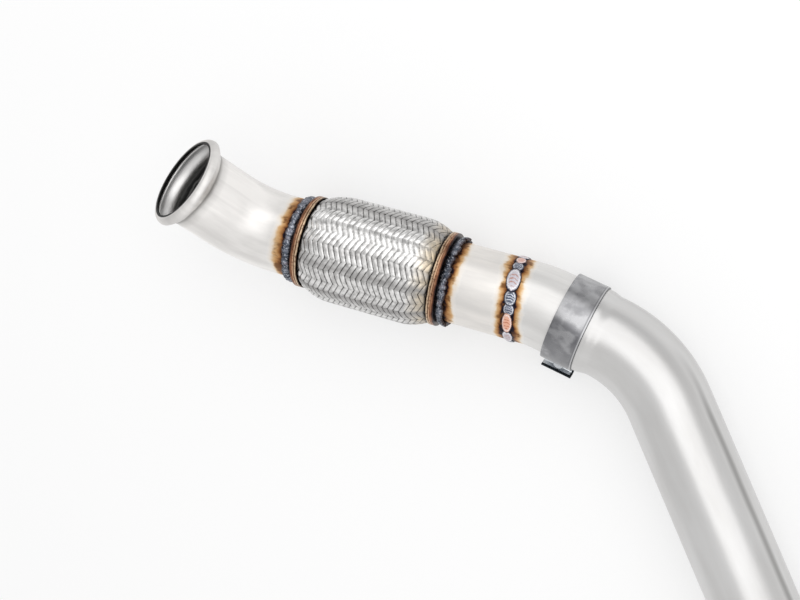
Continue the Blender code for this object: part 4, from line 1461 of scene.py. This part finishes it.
@dataclass(frozen=True)
class FlexCoupling:
    """Collars and woven sleeve of the flex coupling."""

    route: Route
    tube: Tube
    collar_radius: float = 44.5 * MM
    collar_wall: float = 1.5 * MM
    cap_length: float = 7.2 * MM
    neck_length: float = 4.5 * MM
    sleeve_wall: float = 1.2 * MM
    sleeve_reach: float = 3.0 * MM
    collar_grooves: tuple[float, ...] = (2.3 * MM, 4.6 * MM)
    groove_depth: float = 0.6 * MM
    groove_half: float = 0.5 * MM
    groove_floor_half: float = 0.15 * MM
    corner: float = 1.2 * MM
    underlay_wall: float = 0.35 * MM
    underlay_sides: int = 96
    underlay_steps: int = 30
    braid_radius: float = 51.1 * MM
    shoulder: float = 28.0 * MM
    strands: int = 26
    section: int = 6
    strand_width: float = 4.75 * MM
    lead: float = 140.0 * MM
    weave_depth: float = 0.6 * MM
    weave_sharpness: float = 1.6
    strand_crown: float = 0.6 * MM
    strand_thickness: float = 0.5 * MM
    steps_per_row: int = 6

    def face(self) -> float:
        """Return the height of a collar's end wall."""
        return self.route.flex_length / 2 - self.neck_length

    def rim(self) -> float:
        """Return the height of a collar's open edge."""
        return self.face() - self.cap_length

    def collar(self, node: str, side: float) -> None:
        """Model one collar: a rolled channel with a neck for the weld.

        Args:
            node: solid that it stands for.
            side: one for the inlet's side, minus one for the outlet's side.
        """
        rim, face = self.rim(), self.face()
        bore = self.collar_radius - self.collar_wall
        sleeve_bore = self.tube.radius + self.tube.gap
        sleeve = sleeve_bore + self.sleeve_wall
        roll = self.collar_wall / 2
        profile = [(bore, face - self.collar_wall), (bore, rim + roll)]
        profile += arc_points((bore + roll, rim + roll), roll, 180, 360, 8)
        radius, floor = self.collar_radius, self.collar_radius - self.groove_depth
        for groove in self.collar_grooves:
            height, half, floor_half = rim + groove, self.groove_half, self.groove_floor_half
            profile += [(radius, height - half), (floor, height - floor_half),
                        (floor, height + floor_half), (radius, height + half)]
        profile += arc_points((radius - self.corner, face - self.corner), self.corner, 0, 90, 6)
        end = self.route.flex_length / 2
        profile += [(sleeve, face), (sleeve, end), (sleeve_bore, end),
                    (sleeve_bore, rim - self.sleeve_reach), (sleeve, rim - self.sleeve_reach),
                    (sleeve, face - self.collar_wall)]
        piece = turned(f"{node}_ring", [(radius, height * side) for radius, height in profile],
                       self.tube.sides, self.route.flex())
        finish = CollarFinish(f"{node}_bronze", self.route.flex(), rim, face, side)
        dress(piece, node, "bronzed_collar", finish)

    def crest(self, height: np.ndarray | float) -> np.ndarray | float:
        """Return the braid's outer radius, which shrinks in a shoulder at both collars.

        Args:
            height: distance from the coupling's middle, or a row of them.

        Returns:
            The radius at each height.
        """
        cap = self.collar_radius - self.collar_wall - self.tube.gap
        inset = np.clip((self.rim() - np.abs(height)) / self.shoulder, 0.0, 1.0)
        return cap + (self.braid_radius - cap) * (1 - (1 - inset) ** 2)

    def braid_half(self) -> float:
        """Return half the length of the braid, whose ends lie inside the collars."""
        return self.face() - self.collar_wall - self.tube.gap

    def underlay(self) -> None:
        """Model a dark sleeve under the strands, a painted shade that shows between them."""
        depth = 2 * self.weave_depth + self.strand_thickness + self.strand_crown
        half, steps = self.braid_half(), self.underlay_steps
        heights = [half * (1 - step / steps) for step in range(2 * steps + 1)]
        outer = [(float(self.crest(height)) - depth, height) for height in heights]
        inner = [(radius - self.underlay_wall, height) for radius, height in reversed(outer)]
        piece = turned("braid_underlay", outer + inner, self.underlay_sides, self.route.flex())
        # a dark sheet standing for the shade between the strands
        finish = PlainMetalFinish("shaded_wire", (0.07, 0.066, 0.062), (0.02, 0.02, 0.02), 0.55,
                                  self.route.flex())
        dress(piece, "flex_braid", "braid_wire", finish)

    def ribbon(self) -> Piece:
        """Lay out a flat ribbon of two layers, from minus one to one both ways."""
        rows = 2 * self.braid_half() / self.lead * self.strands
        leave_edit_mode()
        bpy.ops.mesh.primitive_grid_add(x_subdivisions=round(rows * self.steps_per_row),
                                        y_subdivisions=self.section, size=2.0)
        bpy.ops.object.mode_set(mode="EDIT")
        bpy.ops.mesh.select_all(action="SELECT")
        bpy.ops.mesh.extrude_region_move(TRANSFORM_OT_translate={"value": (0, 0, -1.0)})
        bpy.ops.object.mode_set(mode="OBJECT")
        return bpy.context.object

    def strand(self, hand: float, parity: int) -> Piece:
        """Model one strand of wires that winds up the barrel, over and under the others.

        Args:
            hand: one for strands that climb to the right, minus one for the others.
            parity: which of the two weaving phases the strand has.

        Returns:
            The strand, round the Z axis.
        """
        strand = self.ribbon()
        run, across, layer = points_of(strand).T
        under = layer < -0.5
        half = self.braid_half()
        slope = self.lead / math.tau
        radius = self.crest(run * half)
        pitch = np.arctan2(slope, radius)
        sideways = across * self.strand_width / 2
        height = np.clip(run * half + sideways * np.cos(pitch), -half, half)
        turn = hand * (run * half / slope) - hand * sideways * np.sin(pitch) / radius
        turn += math.tau * parity / self.strands
        phase = turn * self.strands / math.tau * 2.0
        wave = np.cos(math.pi * (phase - 1.0) / 2) * hand
        wave = np.tanh(self.weave_sharpness * wave) / math.tanh(self.weave_sharpness)
        crown = np.where(under, -self.strand_thickness, -self.strand_crown * across ** 2)
        radius = self.crest(height) + self.weave_depth * (wave - 1) + crown
        placed = np.stack([radius * np.cos(turn), radius * np.sin(turn), height], axis=1)
        strand.data.vertices.foreach_set("co", placed.ravel())
        # painted shade: how deep each point lies in the weave's hollows or at a strand's edge, full
        # under the strand
        weave_shade = np.clip(0.5 - 0.5 * wave, 0.0, 1.0) ** 2 * 0.85 + 0.4 * across ** 6
        write_layer(strand, "weave_shade", np.clip(weave_shade + under, 0.0, 1.0))
        strand.data.update()
        return strand

    def strand_family(self, name: str, hand: float) -> None:
        """Copy the strands of one hand round the barrel and join them.

        Args:
            name: the piece's name.
            hand: one for strands that climb to the right, minus one for the others.
        """
        copies = []
        for parity in (0, 1):
            model = self.strand(hand, parity)
            for index in range(self.strands // 2):
                copy = copied(model)
                copy.data.transform(Matrix.Rotation(math.tau * 2 * index / self.strands, 4, "Z"))
                copies.append(copy)
            bpy.data.objects.remove(model, do_unlink=True)
        family = joined(copies, name)
        bpy.ops.object.mode_set(mode="EDIT")
        bpy.ops.mesh.select_all(action="SELECT")
        bpy.ops.mesh.normals_make_consistent(inside=False)
        smooth(family, 75.0)
        set_in_place(family, self.route.flex())
        finish = WireFinish(f"{name}_wire", self.route.flex(), self.rim())
        dress(family, "flex_braid", "braid_wire", finish)


@dataclass(frozen=True)
class Clamp:
    """Flat band round the slip joint, with its bolt, nut and washers."""

    route: Route
    tube: Tube
    width: float = 30.0 * MM
    thickness: float = 1.2 * MM
    from_bend: float = 13.8 * MM
    gap: float = 8.0 * MM
    gap_angle: float = math.radians(-36.0)
    ear_height: float = 14.0 * MM
    lip_length: float = 8.0 * MM
    fillet: float = 2.0 * MM
    bolt_radius: float = 47.25 * MM
    hole_radius: float = 3.3 * MM
    sides: int = 160
    root_margin: float = 0.4 * MM
    edge_bevel: float = 0.18 * MM
    ear_root: float = 2.5 * MM
    touching: float = 0.01 * MM

    def place(self) -> Matrix:
        """Return the heading in the band's middle, its X axis pointing at the gap."""
        middle = advance(self.route.joint(), self.from_bend + self.width / 2)
        return middle @ Matrix.Rotation(self.gap_angle, 4, "Z")

    def band(self) -> None:
        """Model the band: a hoop cut open, with its ends drawn out into ears and lips."""
        bore = self.tube.radius + 2 * self.tube.gap + self.tube.wall
        middle = bore + self.thickness / 2
        offset = (self.gap + self.thickness) / 2
        leave_edit_mode()
        bpy.ops.mesh.primitive_circle_add(vertices=self.sides, radius=middle, fill_type="NOTHING",
                                          location=(0, 0, -self.width / 2))
        band = bpy.context.object
        band.name = "clamp_band_strip"
        bpy.ops.object.transform_apply(location=True, rotation=True, scale=True)
        bpy.ops.object.mode_set(mode="EDIT")
        bpy.ops.mesh.select_all(action="SELECT")
        bpy.ops.mesh.extrude_region_move(TRANSFORM_OT_translate={"value": (0, 0, self.width)})
        root = offset + self.fillet
        pick_points(band, lambda place: place.x > 0 and abs(place.y) < root + self.root_margin)
        bpy.ops.mesh.delete(type="VERT")
        for side in (1.0, -1.0):
            self.draw_ear(band, side, self.ear_path(middle, offset))
        bpy.ops.mesh.select_all(action="SELECT")
        bpy.ops.mesh.normals_make_consistent(inside=False)
        leave_edit_mode()
        apply_modifier(band, "SOLIDIFY", thickness=self.thickness, offset=0.0, use_even_offset=True)
        self.pierce(band)
        apply_modifier(band, "BEVEL", width=self.edge_bevel, segments=2, limit_method="ANGLE",
                       angle_limit=math.radians(50.0))
        smooth(band, 40.0)
        set_in_place(band, self.place())
        finish = StrapFinish("strap_steel", self.place(), self.width, bore + self.ear_root)
        dress(band, "clamp_band", "clamp_sheet", finish)

    def ear_path(self, middle: float, offset: float) -> Profile:
        """Plan the ear's middle line, from the hoop round its root and its corner to its tip.

        Args:
            middle: radius of the hoop's middle line.
            offset: distance of the ear from the middle of the gap.

        Returns:
            The line's points, for the ear above the gap.
        """
        radius, root = self.fillet, offset + self.fillet
        edge = math.sqrt(middle ** 2 - root ** 2)
        tip = middle + self.ear_height
        path = arc_points((edge + radius, root), radius, 180, 270, 6)
        path += arc_points((tip - radius, root), radius, 270, 360, 6)
        return path + [(tip, offset + self.lip_length)]

    def draw_ear(self, band: Piece, side: float, path: Profile) -> None:
        """Draw one end of the hoop out along an ear's middle line.

        Args:
            band: the open hoop.
            side: one for the ear above the gap, minus one for the ear below it.
            path: the ear's middle line, for the ear above the gap.
        """
        leave_edit_mode()
        ends = [point.co.copy() for point in band.data.vertices
                if point.co.x > 0 and point.co.y * side > 0]
        start = min(ends, key=lambda place: abs(place.y))
        pick_points(band, lambda place: (place.xy - start.xy).length < self.touching)
        reached = (start.x, start.y)
        for right, up in path:
            step = (right - reached[0], up * side - reached[1], 0)
            bpy.ops.mesh.extrude_region_move(TRANSFORM_OT_translate={"value": step})
            reached = (right, up * side)

    def pierce(self, band: Piece) -> None:
        """Cut the bolt's holes through both ears.

        Args:
            band: the band, already of its full thickness.
        """
        bpy.ops.mesh.primitive_cylinder_add(
            vertices=32, radius=self.hole_radius, depth=4 * self.gap,
            location=(self.bolt_radius, 0, 0), rotation=(math.radians(90.0), 0, 0))
        drill = bpy.context.object
        apply_modifier(band, "BOOLEAN", object=drill, operation="DIFFERENCE", solver="EXACT")
        bpy.data.objects.remove(drill, do_unlink=True)

    def fasteners(self) -> None:
        """Dress the bolt, the nut and the washers."""
        for node in ("clamp_bolt", "clamp_nut", "clamp_washer_upper", "clamp_washer_lower"):
            finish = PlainMetalFinish(f"{node}_plating", (0.62, 0.64, 0.67), (0.46, 0.48, 0.50),
                                      0.34, self.place())
            dress_solid(node, finish)


@dataclass(frozen=True)
class Studio:
    """Pale floor, pale room, one soft box and the camera."""

    camera_place: tuple[float, float, float] = (375.819 * MM, 102.14 * MM, 1146.646 * MM)
    camera_look: tuple[float, float, float] = (-0.346648, 0.069832, -0.935392)
    camera_up: tuple[float, float, float] = (0.379966, 0.922197, -0.071965)
    lens: float = 56.0
    sensor: float = 36.0
    floor_size: float = 60.0
    floor_drop: float = 0.2 * MM
    floor_colour: Colour = (0.92, 0.92, 0.92)
    floor_glow: float = 0.55
    room_dim: float = 0.60
    room_bright: float = 1.05
    box_low: tuple[float, float] = (-0.06, -0.75)
    box_high: tuple[float, float] = (2.2, 3.0)
    box_height: float = 1.6
    box_radiance: float = 0.85

    def camera(self) -> None:
        """Stand the camera where the photograph was taken from."""
        data = bpy.data.cameras.new("camera")
        data.lens = self.lens
        data.sensor_width = self.sensor
        camera = bpy.data.objects.new("camera", data)
        bpy.context.collection.objects.link(camera)
        look, up = Vector(self.camera_look), Vector(self.camera_up)
        turn = Matrix((look.cross(up), up, -look)).transposed().to_4x4()
        camera.matrix_world = Matrix.Translation(self.camera_place) @ turn
        bpy.context.scene.camera = camera

    def seen_share(self, tree: bpy.types.NodeTree) -> Socket:
        """Tell the rays of the camera and of shiny or clear surfaces from all others.

        Args:
            tree: the material's node tree.

        Returns:
            A socket that is one for such a ray.
        """
        path = tree.nodes.new("ShaderNodeLightPath")
        total = path.outputs["Is Camera Ray"]
        for name in ("Is Glossy Ray", "Is Transmission Ray"):
            both = tree.nodes.new("ShaderNodeMath")
            both.operation = "MAXIMUM"
            tree.links.new(total, both.inputs[0])
            tree.links.new(path.outputs[name], both.inputs[1])
            total = both.outputs[0]
        return total

    def floor(self) -> None:
        """Lay the pale floor, which keeps the shadow of the pipe."""
        leave_edit_mode()
        bpy.ops.mesh.primitive_plane_add(size=self.floor_size, location=(0, 0, -self.floor_drop))
        floor = bpy.context.object
        floor.name = "floor"
        material = bpy.data.materials.new("floor_white")
        material.use_nodes = True
        tree = material.node_tree
        tree.nodes.clear()
        output = tree.nodes.new("ShaderNodeOutputMaterial")
        mix = tree.nodes.new("ShaderNodeMixShader")
        matt = tree.nodes.new("ShaderNodeBsdfDiffuse")
        glow = tree.nodes.new("ShaderNodeEmission")
        share = tree.nodes.new("ShaderNodeMath")
        share.operation = "MULTIPLY"
        matt.inputs["Color"].default_value = (*self.floor_colour, 1.0)
        glow.inputs["Color"].default_value = (1.0, 1.0, 1.0, 1.0)
        tree.links.new(self.seen_share(tree), share.inputs[0])
        share.inputs[1].default_value = self.floor_glow
        tree.links.new(share.outputs[0], mix.inputs[0])
        tree.links.new(matt.outputs[0], mix.inputs[1])
        tree.links.new(glow.outputs[0], mix.inputs[2])
        tree.links.new(mix.outputs[0], output.inputs["Surface"])
        floor.data.materials.append(material)

    def world(self) -> None:
        """Surround the pipe with a pale room, a little brighter behind the outlet."""
        world = bpy.data.worlds.new("pale_room")
        bpy.context.scene.world = world
        world.use_nodes = True
        tree = world.node_tree
        background = tree.nodes["Background"]
        place = tree.nodes.new("ShaderNodeTexCoord")
        split = tree.nodes.new("ShaderNodeSeparateXYZ")
        level = tree.nodes.new("ShaderNodeMapRange")
        tree.links.new(place.outputs["Generated"], split.inputs[0])
        tree.links.new(split.outputs["Y"], level.inputs["Value"])
        level.inputs["From Min"].default_value = -1.0
        level.inputs["From Max"].default_value = 1.0
        level.inputs["To Min"].default_value = self.room_bright
        level.inputs["To Max"].default_value = self.room_dim
        tree.links.new(level.outputs["Result"], background.inputs["Strength"])
        background.inputs["Color"].default_value = (1.0, 1.0, 1.0, 1.0)

    def soft_box(self) -> None:
        """Hang one large soft box level over the pipe, towards the bend's outside."""
        low, high = self.box_low, self.box_high
        data = bpy.data.lights.new("soft_box", "AREA")
        data.shape = "RECTANGLE"
        data.size, data.size_y = high[0] - low[0], high[1] - low[1]
        data.energy = self.box_radiance * math.pi * data.size * data.size_y
        lamp = bpy.data.objects.new("soft_box", data)
        bpy.context.collection.objects.link(lamp)
        lamp.location = ((low[0] + high[0]) / 2, (low[1] + high[1]) / 2, self.box_height)
        lamp.visible_camera = False

    def build(self) -> None:
        """Set up the floor, the world, the soft box and the camera."""
        self.floor()
        self.world()
        self.soft_box()
        self.camera()
        bpy.context.scene.view_settings.view_transform = "Standard"


def main() -> None:
    """Build the tubes, the coupling, the welds and the clamp, and light them."""
    logging.basicConfig(level=logging.INFO, format="%(name)s: %(message)s")
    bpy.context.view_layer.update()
    route, tube = Route(), Tube()
    tubing = Tubing(route, tube)
    tubing.elbow()
    tubing.stub()
    tubing.slip_tube()
    tubing.mid_pipe()
    flex = FlexCoupling(route, tube)
    flex.collar("flex_front_collar", 1.0)
    flex.collar("flex_rear_collar", -1.0)
    flex.underlay()
    flex.strand_family("braid_right_hand", 1.0)
    flex.strand_family("braid_left_hand", -1.0)
    for node in ("flex_bellows", "flex_liner"):
        finish = PlainMetalFinish(f"{node}_sheet", (0.62, 0.61, 0.60), (0.5, 0.49, 0.48), 0.3,
                                  route.flex())
        dress_solid(node, finish)
    welds = Welds(route, tube)
    welds.fillet("front_weld", side=1.0, height=0.9 * MM, width=7.8 * MM)
    welds.fillet("rear_weld", side=-1.0, height=0.5 * MM, width=9.8 * MM, blobs=(welds.blob,))
    welds.seam()
    clamp = Clamp(route, tube)
    clamp.band()
    clamp.fasteners()
    Studio().build()
    leave_edit_mode()


if __name__ == "__main__":
    main()
